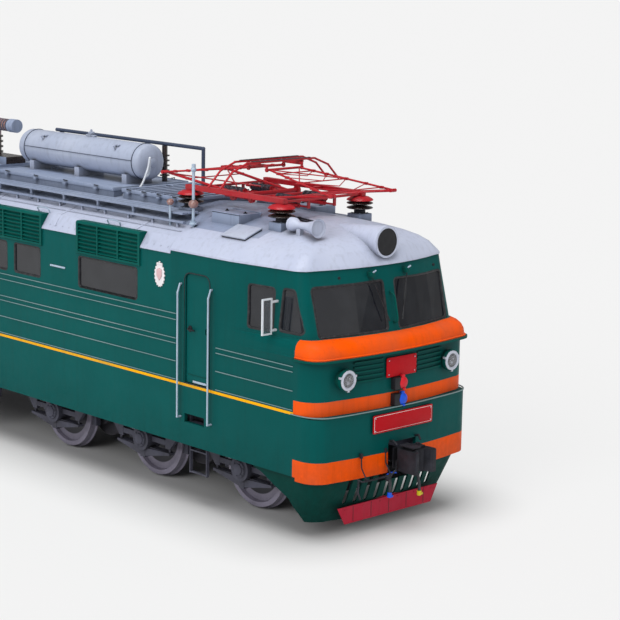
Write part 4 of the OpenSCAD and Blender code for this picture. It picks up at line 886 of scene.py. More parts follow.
def islands(mesh):
    # loose parts as lists of face numbers with their corners
    work = bmesh.new()
    work.from_mesh(mesh)
    work.faces.ensure_lookup_table()
    seen, made = set(), []
    for first in work.faces:
        if first.index in seen:
            continue
        queue, group = [first], []
        seen.add(first.index)
        while queue:
            face = queue.pop()
            group.append(face.index)
            for edge in face.edges:
                for other in edge.link_faces:
                    if other.index not in seen:
                        seen.add(other.index)
                        queue.append(other)
        places = [v.co for number in group for v in work.faces[number].verts]
        low = Vector([min(p[k] for p in places) for k in range(3)])
        high = Vector([max(p[k] for p in places) for k in range(3)])
        made.append((group, low, high))
    work.free()
    return made


def paneOutlines():
    # the outer rim of every pane, from the glass node's own mesh
    mesh = frame["nodes"]["window_glass"].data.copy()
    work = bmesh.new()
    work.from_mesh(mesh)
    bmesh.ops.remove_doubles(work, verts=work.verts, dist=0.00004)
    work.normal_update()
    work.to_mesh(mesh)
    made = []
    work.faces.ensure_lookup_table()
    for group, low, high in islands(mesh):
        centre = (low + high) / 2
        size = high - low
        if min(size) > 0.5 or max(size) < 0.15:
            continue
        if size.y < size.x:
            outward = Vector((0, math.copysign(1, centre.y), 0))
        else:
            outward = Vector((math.copysign(1, centre.x), 0, 0.1))
        front = [work.faces[n] for n in group if work.faces[n].normal.dot(outward) > 0.55]
        inFront = set(front)
        rim = [e for f in front for e in f.edges if sum(1 for g in e.link_faces if g in inFront) == 1]
        step = {}
        for edge in rim:
            for v in edge.verts:
                step.setdefault(v, []).append(edge.other_vert(v))
        start = next(iter(step))
        loop, before, now = [start], None, start
        while True:
            onward = [v for v in step[now] if v is not before]
            if not onward:
                break
            before, now = now, onward[0]
            if now is start or len(loop) > 400:
                break
            loop.append(now)
        made.append(([v.co.copy() for v in loop], outward, centre))
    work.free()
    return made


sealValues = dict(width=0.045, glazingBead=0.012, proud=0.004)
panes = paneOutlines()
seals = Piece("window_seals", "body", "hose_rubber")
for loop, outward, centre in panes:
    if len(loop) < 8:
        continue
    inside = [p + (centre - p).normalized() * sealValues["glazingBead"] + outward * sealValues["proud"]
              for p in loop]
    seals.tube(inside + inside[:2], sealValues["width"] / 2, sealRubber, 8, cap=False)
seals.done()
print("window seals", len(panes))


# Mouldings along the sides

ribValues = dict(heights=(1.883, 2.154, 2.42, 2.495), upper=(2.77, 2.86), width=0.011, proud=0.012,
                 betweenDoors=6.83, beyondDoors=(7.72, 9.33))
# the mouldings and the apron ledge are painted pale: a painted highlight along them
ribHighlightPaint = paint("moulding_pale_painted_highlight", colour="#6f8f92", faded="#9db0b2", fade=0.4, streak=0.1,
                 dustAmount=0.1, soot=0.3, rough=0.4)


def sidePath(z, x1, x2, off):
    return [(x1, -(halfWidth + off), z), (x2, -(halfWidth + off), z)]


runs = []
for z in ribValues["heights"] + ribValues["upper"]:
    runs.append(sidePath(z, -ribValues["betweenDoors"], ribValues["betweenDoors"], ribValues["proud"] / 4))
    if z in ribValues["heights"]:
        runs += [sidePath(z, *[sign * x for x in ribValues["beyondDoors"]], ribValues["proud"] / 4)
                 for sign in ends]
growPiece("side_mouldings", "body", [("sweep", {"Width": ribValues["proud"], "Height": ribValues["width"],
                                                "Finish": ribHighlightPaint}, runs)], bothSides=True)
print("side mouldings")


# Crest, dash, door trim

sideTrim = Piece("side_badges_and_strips", "body", "body_green")
crestAt = facing((6.455, -halfWidth, lift(3.37)), (0, -1, 0))
crestValues = dict(wide=0.112, high=0.172, leaf=0.01, leaves=18)
cr = crestValues
wreath = [((cr["wide"] + cr["leaf"] * math.cos(cr["leaves"] * a)) * math.cos(a),
           -0.02 + (cr["high"] + cr["leaf"] * math.cos(cr["leaves"] * a)) * math.sin(a)) for a in around(108)]
sideTrim.slab(wreath, 0.012, crestWhite, crestAt, 0.003)
sideTrim.slab([(-0.055, 0.06), (0.0, 0.085), (0.055, 0.06), (0.058, -0.03), (0.0, -0.1), (-0.058, -0.03)],
              0.024,
              crestPink, crestAt, 0.006)
for u in (-0.045, 0.0, 0.045):
    sideTrim.slab([(u - 0.02, 0.13), (u + 0.02, 0.13), (u + 0.012, 0.185 - abs(u) * 0.5),
                   (u - 0.012, 0.185 - abs(u) * 0.5)], 0.016, crestWhite, crestAt, 0.003)
sideTrim.box((3.74, -halfWidth - 0.012, lift(3.13)), (4.13, -halfWidth + 0.004, lift(3.16)), railEnamel)
sideTrim.done(bothEnds=True)

doorTrim = dict(handleZ=2.68, leverIn=0.1)
for end, endName in endNames:
    for side in (-1, 1):
        name = next(n for n in doorNames if n.startswith(endName) and (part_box(n)[0].y > 0) == (side > 0))
        low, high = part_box(name)
        trim = Piece(name + "_trim", bodyOfNode(name), "rail_paint")
        face = side * max(abs(low.y), abs(high.y))
        out = Vector((0, side, 0))
        inner = low.x if end > 0 else high.x
        lever = inner + end * doorTrim["leverIn"]
        trim.turned([(0.045, 0), (0.045, 0.012), (0.03, 0.02), (0.016, 0.024), (0.016, 0.05), (0.0, 0.052)],
                    (lever, face - side * 0.002, doorTrim["handleZ"]), out, blackPaint, 20)
        trim.tube([(lever, face + side * 0.035, doorTrim["handleZ"]),
                   (lever + end * 0.05, face + side * 0.04, doorTrim["handleZ"] - 0.004),
                   (lever + end * 0.13, face + side * 0.036, doorTrim["handleZ"] - 0.01)], 0.011, blackPaint)
        trim.box((low.x + 0.05, face - side * 0.002, 2.0), (high.x - 0.05, face + side * 0.006, 2.006),
                 plainGreen)
        trim.box((low.x + 0.17, face - side * 0.002, low.z + 0.012),
                 (high.x - 0.07, face + side * 0.012, low.z + 0.045), railEnamel)
        trim.done()

doorSeals = []
for name in doorNames:
    low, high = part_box(name)
    side = 1 if low.y > 0 else -1
    y = side * (halfWidth + 0.001)
    top, r = high.z + 0.01, 0.12
    path = [(low.x - 0.012, y, low.z - 0.01), (low.x - 0.012, y, top - r)]
    path += [(low.x - 0.012 + r - r * math.cos(a), y, top - r + r * math.sin(a))
             for a in [math.pi / 2 * k / 6 for k in range(1, 7)]]
    path += [(high.x + 0.012 - r + r * math.sin(a), y, top - r + r * math.cos(a))
             for a in [math.pi / 2 * k / 6 for k in range(7)]]
    path += [(high.x + 0.012, y, low.z - 0.01)]
    doorSeals.append(path)
growPiece("door_seals", "body", [("sweep", {"Width": 0.01, "Height": 0.012, "Finish": sealRubber}, doorSeals,
                                  True)])
print("door trim")


# Front

plateValues = dict(upper=(0.6, 0.28, 9.868, 2.359), lower=(1.2, 0.26, 9.926, 1.597), edgeInset=0.036,
                   edgeWidth=0.005)
socketHeights = ((2.12, socketRed), (1.885, socketBlue))
ridgeValues = dict(count=5, first=2.225, spacing=0.068, x=9.858, inner=0.34, length=0.54)
front = Piece("front_plates_and_sockets", "body", "pantograph_red")


def bow(y, x0, drop=0.11, shoulder=1.36):
    # the cab front is a shallow arc: this is its x at a given y
    return x0 - drop * (abs(y) / shoulder) ** 2


def plateOn(wide, high, x, z, edge=0.0):
    # a blank plate, with a thin white line inside its edge if edge is given, and a screw at each corner
    place = (x, 0, lift(z))
    turn = facing(place, (1, 0, 0))
    front.slab(roundedOutline(wide, high, 0.02), 0.012, plateRed, turn)
    if edge:
        wide2, high2 = wide - plateValues["edgeInset"], high - plateValues["edgeInset"]
        front.slab(roundedOutline(wide2, high2, 0.016), 0.014, plateEdge, turn)
        front.slab(roundedOutline(wide2 - 2 * edge, high2 - 2 * edge, 0.012), 0.016, plateRed, turn)
    for u in (-1, 1):
        for v in (-1, 1):
            spot = Vector(place) + Vector((0.016, u * (wide / 2 - 0.04), v * (high / 2 - 0.04)))
            front.turned([(0.009, 0), (0.008, 0.004), (0.0, 0.006)], spot, (1, 0, 0), silver, 10)


plateOn(*plateValues["upper"])
plateOn(*plateValues["lower"], edge=plateValues["edgeWidth"])
# jumper sockets: a black box, a round coloured cap and its hinge
for z, cap in socketHeights:
    front.box((9.80, -0.175, lift(z) - 0.085), (9.93, -0.055, lift(z) + 0.09), blackPaint, 0.012)
    front.turned([(0.05, 0), (0.05, 0.05), (0.082, 0.055), (0.085, 0.075), (0.06, 0.094), (0.035, 0.1),
                  (0.0, 0.102)],
                 (9.848, 0, lift(z)), (1, 0, 0), cap, 28)
    front.box((9.88, -0.03, lift(z) + 0.075), (9.925, 0.03, lift(z) + 0.115), cap, 0.008)
    front.box((9.93, -0.022, lift(z) - 0.1), (9.95, 0.022, lift(z) - 0.07), cap, 0.006)
# ridged panel behind the upper plate
ridges = []
rv = ridgeValues
for i in range(rv["count"]):
    z = lift(rv["first"] + rv["spacing"] * i)
    for sign in (-1, 1):
        ridges.append([(bow(y, rv["x"]), y, z)
                       for y in [sign * (rv["inner"] + rv["length"] * k / 8) for k in range(9)]])
front.done(bothEnds=True)
growPiece("front_ridges", "body",
          [("sweep", {"Width": 0.018, "Height": 0.024, "Finish": plainGreen}, ridges)],
          bothEnds=True, angle=60)

lampValues = dict(y=1.052, z=2.32, rim=0.147, lugs=(0.35, 2.8, -1.57), headZ=4.067)
marker = Piece("marker_lamp_lenses", "body", "wheel_steel")
head = Piece("headlamp_lens_and_rim", "body", "roof_grey")
for side in (-1, 1):
    place = (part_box("marker_lamps")[1].x - 0.012, side * lampValues["y"], lampValues["z"])
    marker.turned([(0.098, 0), (0.098, 0.016), (0.112, 0.03), (0.13, 0.032), (0.143, 0.02), (0.147, 0),
                   (0.147, -0.03),
                   (0.135, -0.034)], place, (1, 0, 0), silver, 40)
    marker.turned([(0.1, 0.002), (0.085, 0.003), (0.05, 0.004), (0.0, 0.004)], place, (1, 0, 0), headGlass,
                  32)
    for across, up, r in ((0.0, -0.03, 0.026), (0.024, 0.02, 0.014), (-0.034, 0.0, 0.012)):
        marker.turned([(r, 0.003), (r * 0.8, 0.008), (0.0, 0.012)],
                      (place[0], place[1] + across, place[2] + up), (1, 0, 0), chrome, 14)
    marker.turned([(0.1, 0.012), (0.092, 0.018), (0.06, 0.024), (0.0, 0.027)], place, (1, 0, 0), lampGlass,
                  32)
    for turn in lampValues["lugs"]:
        spot = Vector(place) + lampValues["rim"] * Vector((0, math.cos(turn), math.sin(turn)))
        marker.box(spot + Vector((-0.03, -0.016, -0.016)), spot + Vector((0.024, 0.016, 0.016)), silver,
                   0.005)
marker.done(bothEnds=True)
place = (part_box("headlamps")[1].x - 0.01, 0, lift(lampValues["headZ"]))
head.turned([(0.188, -0.005), (0.19, 0.006), (0.205, 0.009), (0.222, 0.004), (0.226, -0.01), (0.226, -0.05),
             (0.19, -0.05)], place, (1, 0, 0), roofEnamel, 56)
head.turned([(0.192, -0.002), (0.16, 0.0), (0.08, 0.004), (0.0, 0.006)], place, (1, 0, 0), headGlass, 48)
head.turned([(0.194, -0.004), (0.19, -0.002), (0.188, 0.008), (0.192, 0.01), (0.196, 0.006)], place,
            (1, 0, 0),
            blackPaint, 56)
head.done(bothEnds=True)
print("plates, sockets, lamps")

# grab handle, wiper arms, brackets over the windscreens, drip rail under the visor
browValues = dict(bracketY=0.35, bracketZ=3.655, studY=0.95)
brow = Piece("front_handles_and_wipers", "body", "body_green")


def screenX(z):
    # the windscreen plane leans back: 9.72 at its foot, 9.572 at its head
    return 9.73 - 0.206 * (z - lift(2.839))


brow.tube(smoothPath([(screenX(2.98), 0, 2.98), (screenX(3.0) + 0.075, 0, 3.02),
                      (screenX(3.2) + 0.08, 0, 3.2), (screenX(3.36) + 0.07, 0, 3.36),
                      (screenX(3.4), 0, 3.4)], 5), 0.014, plainGreen, 10)
for side in (-1, 1):
    z = lift(browValues["bracketZ"])
    x, y = screenX(z) + 0.005, side * browValues["bracketY"]
    brow.box((x - 0.05, y - 0.035, z - 0.045), (x + 0.055, y + 0.035, z + 0.03), plainGreen, 0.01)
    brow.tube([(x + 0.04, y, z + 0.02), (x + 0.085, y + 0.02, z + 0.06)], 0.011, railEnamel)
    brow.turned([(0.022, 0), (0.02, 0.014), (0.0, 0.018)], (x - 0.02, side * browValues["studY"], z),
                (1, 0, 0.2), blackPaint, 14)
    # wiper: pivot above the screen, arm and blade parked along the inner edge
    pivot = Vector((x + 0.03, y, z - 0.04))
    tip = Vector((screenX(3.02) + 0.05, side * 0.13, 3.06))
    brow.tube([pivot, pivot.lerp(tip, 0.5) + Vector((0.02, 0, 0)), tip.lerp(pivot, 0.25)], 0.007, blackPaint,
              6)
    brow.tube([tip + Vector((0, 0, -0.04)), tip.lerp(pivot, 0.85)], 0.009, sealRubber, 6)
brow.done(bothEnds=True)


def roundFront(edge, z):
    # one smooth line round the cab's front, from half of its outline
    loop = [(x, -y, z) for x, y in edge] + [(x, y, z) for x, y in reversed(edge[:-1])]
    return [tuple(p) for p in smoothPath(loop, 3)]


visorEdge = [(9.345, 1.598), (9.46, 1.597), (9.57, 1.585), (9.68, 1.54), (9.76, 1.46), (9.80, 1.36),
             (9.835, 1.1), (9.862, 0.75), (9.882, 0.38), (9.888, 0.0)]
growPiece("visor_drip_rail", "body", [("sweep", {"Width": 0.05, "Height": 0.03, "Finish": plainGreen},
                                       [roundFront(visorEdge, 2.6)])], bothEnds=True, angle=60)
print("brow, drip rail")

# painted highlight along the apron's top ledge: a pale strip, and the seams of the rail guard
ledgeEdge = [(9.3, 1.585), (9.5, 1.575), (9.66, 1.53), (9.77, 1.44), (9.83, 1.33), (9.87, 1.1),
             (9.9, 0.75), (9.925, 0.38), (9.93, 0.0)]
growPiece("apron_ledge", "body", [("sweep", {"Width": 0.018, "Height": 0.012, "Finish": ribHighlightPaint},
                                   [roundFront(ledgeEdge, lift(1.796))])], bothEnds=True, angle=60)
guardValues = dict(seams=(-0.72, -0.36, 0.0, 0.36, 0.72), bolts=(-0.88, -0.52, -0.18, 0.18, 0.52, 0.88))
guard = Piece("guard_plate_seams", "body", "body_green")
for y in guardValues["seams"]:
    guard.box((9.694, y - 0.004, 0.215), (9.699, y + 0.004, 0.44), blackPaint, 0.0015)
for y in guardValues["bolts"]:
    guard.turned([(0.012, 0), (0.012, 0.006), (0.0, 0.009)], (9.695, y, 0.41), (1, 0, 0), guardRed, 8)
guard.done(bothEnds=True)


# Roof: sheet seams, walkway boards, hatch trim
roofValues = dict(seamSpacing=1.9, halfLength=6.6, walkY=1.0, boardWidth=0.09, boardGap=0.022, boards=3,
                  boardEnd=6.45, feet=15, footSpacing=0.88, rivetSpacing=0.16)


def roofZ(y):
    # height of the main roof's skin at a distance from the middle
    profile = ((0.0, 4.28), (0.785, 4.2), (1.2, 4.02), (1.45, 3.93), (1.58, 3.70))
    y = min(abs(y), 1.579)
    for (y1, z1), (y2, z2) in zip(profile, profile[1:]):
        if y <= y2:
            return lift(z1 + (z2 - z1) * (y - y1) / (y2 - y1))
    return lift(3.70)


searchTrees = {}


def castOn(name, start, toward):
    # where a straight line meets a CAD node's mesh, or None
    if name not in searchTrees:
        mesh = frame["nodes"][name].data
        searchTrees[name] = BVHTree.FromPolygons([v.co for v in mesh.vertices],
                                                 [tuple(f.vertices) for f in mesh.polygons])
    return searchTrees[name].ray_cast(Vector(start), Vector(toward))[0]


def overRoof(x, y, above=0.0):
    for name in ("main_roof", "cab_roofs"):
        where = castOn(name, (x, y, 6.0), (0, 0, -1))
        if where is not None:
            return where.z + above
    return roofZ(y) + above


roofYs = [-1.56, -1.5, -1.44, -1.3, -1.2, -1.0, -0.785, -0.4, 0, 0.4, 0.785, 1.0, 1.2, 1.3, 1.44, 1.5, 1.56]
seams = []
roofEnd = roofValues["halfLength"]
count = int(roofEnd // roofValues["seamSpacing"])
for i in range(-count, count + 1):
    x = i * roofValues["seamSpacing"] + 0.02
    seams.append([(x, y, overRoof(x, y, 0.003)) for y in roofYs])
edges = [[(x, side * 1.3, overRoof(x, side * 1.3, 0.004))
          for x in (-roofEnd, -roofEnd / 2, 0.0, roofEnd / 2, roofEnd)] for side in ends]
growPiece("roof_sheet_seams", "body", [
    ("sweep", {"Width": 0.05, "Height": 0.008, "Finish": roofEnamel}, seams),
    ("sweep", {"Width": 0.03, "Height": 0.01, "Finish": roofEnamel}, edges)])
rivets = [[(x, y, overRoof(x, y, 0.002)) for x in (-roofEnd, 0.0, roofEnd)] for y in (-1.55, 1.55)]
rivets += [[(p[0] + 0.045, p[1], p[2]) for p in seam[3:14]] for seam in seams]
growPiece("roof_rivets", "body",
          [("bolts", {"Spacing": roofValues["rivetSpacing"], "Radius": 0.011, "Proud": 0.007,
                      "Direction": (0, 0, 1), "Finish": roofEnamel}, rivets)])

boards = []
for side in ends:
    for k in range(roofValues["boards"]):
        y = side * (roofValues["walkY"] + (k - 1) * (roofValues["boardWidth"] + roofValues["boardGap"]))
        z = overRoof(0.3, side * (roofValues["walkY"] - 0.13), 0.05)
        boards.append([(x, y, z) for x in (-roofValues["boardEnd"], 0, roofValues["boardEnd"])])
growPiece("walkway_boards", "body", [
    ("sweep", {"Width": roofValues["boardWidth"], "Height": 0.026, "Finish": gearEnamel}, boards)])
walkFeet = Piece("walkway_feet", "body", "gear_grey")
for i in range(roofValues["feet"]):
    x = (i - roofValues["feet"] // 2) * roofValues["footSpacing"]
    for side in ends:
        y = side * roofValues["walkY"]
        z = overRoof(0.3, side * (roofValues["walkY"] - 0.13), 0.036)
        walkFeet.box((x - 0.03, y - 0.17, z - 0.012), (x + 0.03, y + 0.17, z), gearEnamel, 0.003)
        for v in (-0.14, 0.14):
            walkFeet.box((x - 0.02, y + v - 0.02, overRoof(x, y + v) - 0.01),
                         (x + 0.02, y + v + 0.02, z - 0.01),
                         gearEnamel, 0.003)
walkFeet.done()
print("roof seams and walkways")

# hatch covers with rims, latches and handles: from x, to x, half width
# eave hatch: middle x and y, half length and half width
hatchValues = dict(z=4.38, rims=((1.04, 4.28, 0.75), (4.46, 5.94, 0.7), (-0.28, 0.28, 0.6)), latches=4,
                   eave=(7.75, 1.14, 0.26, 0.18))
hatch = Piece("roof_hatch_trim", "body", "gear_grey")
for x1, x2, halfY in hatchValues["rims"]:
    z = hatchValues["z"]
    for side in ends:
        hatch.box((x1 - 0.015, side * halfY - 0.02, z - 0.045), (x2 + 0.015, side * halfY + 0.02, z + 0.012),
                  gearEnamel, 0.005)
        for i in range(hatchValues["latches"]):
            x = x1 + (x2 - x1) * (i + 0.5) / hatchValues["latches"]
            hatch.box((x - 0.035, side * (halfY + 0.045) - 0.028, z - 0.06),
                      (x + 0.035, side * (halfY + 0.045) + 0.028, z - 0.02), gearEnamel, 0.006)
            hatch.tube([(x - 0.05, side * (halfY + 0.03), z + 0.006), (x, side * (halfY + 0.075), z + 0.02),
                        (x + 0.05, side * (halfY + 0.03), z + 0.006)], 0.008, blackPaint, 6)
    for x in (x1, x2):
        hatch.box((x - 0.02, -halfY, z - 0.045), (x + 0.02, halfY, z + 0.012), gearEnamel, 0.005)
    for k in (0.2, 0.8):
        x = x1 + (x2 - x1) * k
        hatch.tube(smoothPath([(x - 0.08, 0, z), (x - 0.075, 0, z + 0.04), (x + 0.075, 0, z + 0.04),
                               (x + 0.08, 0, z)], 4), 0.009, gearEnamel, 8)
for side in ends:
    hatch.box((6.9, side * 0.97, 4.31), (7.5, side * 0.95, 4.335), gearEnamel, 0.004)
    hatch.box((6.885, side * 0.54, 4.31), (7.515, side * 0.56, 4.337), gearEnamel, 0.004)
    for x in (7.0, 7.4):
        hatch.turned([(0.03, 0), (0.03, 0.012), (0.014, 0.016), (0.014, 0.03), (0.0, 0.034)],
                     (x, side * 0.76, 4.322), (0, 0, 1), blackPaint, 14)
    # eave hatch with its dark edge, laid on the slope
    x, y, halfX, halfY = hatchValues["eave"]
    upper, lower = overRoof(x, side * (y - 0.16)), overRoof(x, side * (y + 0.16))
    spot = Matrix.Translation((x, side * y, (upper + lower) / 2 + 0.022)) @ Matrix.Rotation(
        -side * math.atan((upper - lower) / 0.32), 4, "X")
    hatch.box((0.01 - halfX, 0.01 - halfY, -0.03), (halfX - 0.01, halfY - 0.01, 0.0), blackPaint, 0.006, spot)
    hatch.box((-halfX, -halfY, 0.0), (halfX, halfY, 0.022), tankEnamel, 0.006, spot)
hatch.done(bothEnds=True)
ribs = {"Count": 9, "Start": (4.58, 0, 4.388), "Step": (0.155, 0, 0), "Size": (0.06, 1.28, 0.022),
        "Finish": gearEnamel}
growPiece("ribbed_cover", "body", [("slats", ribs)], bothEnds=True)
print("roof hatches")

# air reservoirs: jacket seams, straps, rings, drain pipe, end manhole
tankValues = dict(z=4.74, r=0.285, endX=4.34, rings=(1.22, 4.14), lugs=(1.7, 3.66))
tank = Piece("roof_tank_details", "body", "gear_grey")
tv = tankValues
for side in ends:
    for drop, finish in ((0.0, barEnamel), (-0.012, tankEnamel)):
        y, z = tv["r"] * math.cos(0.1) * 1.004, tv["z"] + tv["r"] * math.sin(0.1) + drop
        tank.tube([(1.24, side * y, z), (4.12, side * y, z)], 0.005, finish, 6)
for x in tv["rings"]:
    ring = [(x, tv["r"] * math.cos(a) * 1.012, tv["z"] + tv["r"] * math.sin(a) * 1.012)
            for a in around(40, 1)]
    tank.tube(ring, 0.008, barEnamel, 6, cap=False)
for x in tv["lugs"]:
    for side in ends:
        tank.tube([(x, side * 0.24, tv["z"] + 0.16), (x, side * 0.27, tv["z"] + 0.22),
                   (x, side * 0.2, tv["z"] + 0.235)],
                  0.011, tankEnamel, 6)
        tank.box((x - 0.05, side * 0.15 - 0.06, tv["z"] + 0.215),
                 (x + 0.05, side * 0.15 + 0.06, tv["z"] + 0.24),
                 tankEnamel, 0.006)
endX = tv["endX"]
tank.turned([(0.07, 0), (0.075, 0.012), (0.04, 0.022), (0.0, 0.026)], (endX - 0.006, 0.0, tv["z"]), (1, 0, 0),
            tankEnamel, 24)
tank.tube(smoothPath([(endX - 0.1, -0.1, tv["z"] - 0.24), (endX + 0.06, -0.14, tv["z"] - 0.16),
                      (endX + 0.11, -0.16, tv["z"] + 0.1), (endX + 0.1, -0.2, tv["z"] - 0.1),
                      (endX + 0.06, -0.34, lift(4.32)), (endX + 0.02, -0.62, lift(4.24))], 5), 0.017,
          frameEnamel, 8)
tank.box((2.6, -0.03, tv["z"] + tv["r"] - 0.01), (2.84, 0.03, tv["z"] + tv["r"] + 0.03), tankEnamel, 0.008)
tank.turned([(0.04, 0), (0.04, 0.05), (0.055, 0.055), (0.055, 0.08), (0.02, 0.09), (0.018, 0.12),
             (0.0, 0.124)],
            (2.72, 0, tv["z"] + tv["r"] - 0.005), (0, 0, 1), tankEnamel, 20)
tank.done(bothEnds=True)

# pole beside the pantograph: ball insulator, collar; the short post next to it
poleValues = dict(pole=(6.73, -1.18), post=(6.2, -1.18), handles=(5.2, 3.4), conduits=(-0.36, -0.44))
poleX, poleY = poleValues["pole"]
postX, postY = poleValues["post"]
pole = Piece("roof_poles", "body", "gear_grey")
pole.turned([(0.0, -0.06), (0.045, -0.05), (0.07, -0.02), (0.075, 0.01), (0.06, 0.045), (0.03, 0.065),
             (0.0, 0.066)],
            (poleX, poleY, 4.42), (0, 0, 1), pinkPorcelain, 24)
pole.turned([(0.062, 0), (0.062, 0.02), (0.05, 0.03), (0.05, 0.05)], (poleX, poleY, 4.12), (0, 0, 1),
            railEnamel, 20)
pole.turned([(0.0, 0.0), (0.03, 0.0), (0.03, 0.05), (0.0, 0.055)], (poleX, poleY, 4.96), (0, 0, 1),
            railEnamel, 14)
base = overRoof(postX, -1.2)
pole.tube([(postX, postY, base - 0.01), (postX, postY, 4.36)], 0.018, railEnamel, 10)
pole.turned([(0.0, -0.05), (0.04, -0.04), (0.056, 0.0), (0.045, 0.035), (0.0, 0.055)], (postX, postY, 4.40),
            (0, 0, 1), pinkPorcelain, 20)
# handles by the roof's edge, and the conduit toward the headlamp
for x in poleValues["handles"]:
    y = -1.44
    z = overRoof(x, y)
    pole.tube(smoothPath([(x - 0.14, y, z), (x - 0.13, y - 0.03, z + 0.07), (x + 0.13, y - 0.03, z + 0.07),
                          (x + 0.14, y, z)], 4), 0.01, railEnamel, 8)
for y in poleValues["conduits"]:
    pole.tube([(x, y, overRoof(x, y, 0.024)) for x in (7.62, 7.9, 8.2, 8.5, 8.62)], 0.013, motorPaint, 8)
for x in (7.7, 8.1, 8.5):
    pole.box((x - 0.02, -0.48, overRoof(x, -0.4) - 0.006), (x + 0.02, -0.32, overRoof(x, -0.4) + 0.044),
             motorPaint, 0.005)
pole.done(bothEnds=True)
print("tanks and poles")

# horn trim: rolled bell edge, dark throat
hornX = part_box("horns")[1].x
hornY, hornZ = -0.85, lift(4.27)
bell = Piece("horn_bell_rims", "body", "roof_grey")
bell.turned([(0.118, -0.02), (0.127, -0.008), (0.13, 0.0), (0.124, 0.006), (0.114, 0.0), (0.1, -0.03),
             (0.06, -0.11), (0.03, -0.2)], (hornX - 0.006, hornY, hornZ), (1, 0, 0), roofEnamel, 40)
bell.turned([(0.058, 0.0), (0.02, -0.09), (0.0, -0.1)], (hornX - 0.08, hornY, hornZ), (1, 0, 0), blackPaint,
            28)
bell.done(bothEnds=True)
print("horns")


# Pantograph insulators: red dome, two wide dark sheds, grey post on its foot
insulatorValues = dict(x=(1.0, -1.0), y=0.785, foot=4.17, low=4.292, high=4.56)
insulator = Piece("pantograph_insulators_dressed", "body", "insulator_brown")
iv = insulatorValues
rise = iv["high"] - iv["low"]
for dx in iv["x"]:
    for side in ends:
        at = (pantoX + dx, side * iv["y"], iv["low"])
        insulator.box((at[0] - 0.13, at[1] - 0.13, iv["foot"]),
                      (at[0] + 0.13, at[1] + 0.13, iv["low"] + 0.006),
                      gearEnamel, 0.012)
        insulator.turned([(0.085, 0), (0.085, 0.05), (0.07, 0.065), (0.07, rise * 0.35)], at, (0, 0, 1),
                         motorPaint, 28)
        for base in (0.30, 0.56):
            z = rise * base
            insulator.turned([(0.07, z - 0.012), (0.185, z - 0.004), (0.198, z + 0.006), (0.186, z + 0.018),
                              (0.12, z + 0.036), (0.07, z + 0.05)], at, (0, 0, 1), darkPorcelain, 44)
        insulator.turned([(0.0, rise), (0.06, rise - 0.002), (0.13, rise - 0.016), (0.185, rise - 0.045),
                          (0.2, rise - 0.066), (0.19, rise - 0.072), (0.1, rise - 0.07), (0.0, rise - 0.07)],
                         at, (0, 0, 1), redEnamel, 44)
        for k in range(4):
            a = math.pi / 4 + k * math.pi / 2
            insulator.turned([(0.014, 0), (0.014, 0.012), (0.0, 0.016)],
                             (at[0] + 0.145 * math.cos(a) * 0.78, at[1] + 0.145 * math.sin(a) * 0.78,
                              iv["low"] + 0.004), (0, 0, 1), gearEnamel, 8)
insulator.done(bothEnds=True, replaces=("pantograph_insulators",))

# raising springs along the base, with their rods and eyes
springValues = dict(y=0.27, z=4.55, start=0.36, length=0.44, coil=0.052, wire=0.01, turns=13.0)
sv = springValues
for end, endName in endNames:
    runs = []
    for toward in ends:
        for side in ends:
            centre = end * pantoX + toward * sv["start"]
            runs.append(("coil",
                         {"Turns": sv["turns"], "Coil Radius": sv["coil"], "Length": toward * sv["length"],
                          "Wire Radius": sv["wire"], "Place": (centre, side * sv["y"], sv["z"]),
                          "Finish": springSteel}))
    growPiece(endName + "_panto_springs", "body", runs, angle=60)
rods = Piece("panto_spring_rods", "body", "pantograph_red")
for toward in ends:
    for side in ends:
        y = side * sv["y"]
        x1 = pantoX + toward * (sv["start"] - 0.1)
        x2 = pantoX + toward * (sv["start"] + sv["length"] + 0.14)
        rods.tube([(x1, y, sv["z"]), (x2, y, sv["z"])], 0.014, redEnamel, 8)
        for x in (pantoX + toward * sv["start"], pantoX + toward * (sv["start"] + sv["length"])):
            rods.turned([(0.05, -0.01), (0.05, 0.01)], (x, y, sv["z"]), (1, 0, 0), redEnamel, 18)
rods.done(bothEnds=True)
print("insulators and springs")


def tubeMiddle(name, x, side):
    # middle of the outer tube of an arm in the slice at x
    hits = []
    for k in range(60):
        y = side * (0.15 + 0.6 * k / 60)
        top = castOn(name, (x, y, 5.4), (0, 0, -1))
        under = castOn(name, (x, y, 4.2), (0, 0, 1))
        if top and under:
            hits.append((y, (top.z + under.z) / 2))
    return max(hits, key=lambda h: abs(h[0])) if hits else None


for end, endName in endNames:
    for arm in ("upper_arm_a", "upper_arm_b", "lower_arm_a", "lower_arm_b"):
        node = "%s_panto_%s" % (endName, arm)
        low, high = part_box(bodyOfNode(node))
        ties = Piece(node + "_ties", bodyOfNode(node), "pantograph_red")
        made = []
        shares = (0.16, 0.3, 0.5, 0.7, 0.86) if arm.startswith("upper") else (0.3, 0.6)
        for share in shares:
            x = low.x + (high.x - low.x) * share
            a, b = tubeMiddle(node, x, -1), tubeMiddle(node, x, 1)
            if a and b:
                made.append((Vector((x, a[0] + 0.012, a[1])), Vector((x, b[0] - 0.012, b[1]))))
        for a, b in made[::2] if arm.startswith("upper") else made:
            ties.tube([a, b], 0.009, redEnamel, 8)
        if arm.startswith("upper"):
            for (a, b), (c, d) in zip(made, made[1:]):
                ties.tube([a, (c + d) / 2], 0.0075, redEnamel, 6)
                ties.tube([b, (c + d) / 2], 0.0075, redEnamel, 6)
        for a, b in made:
            for spot in (a, b):
                ties.box(spot - Vector((0.035, 0.02, 0.02)), spot + Vector((0.035, 0.02, 0.02)), redEnamel,
                         0.008)
        ties.done()
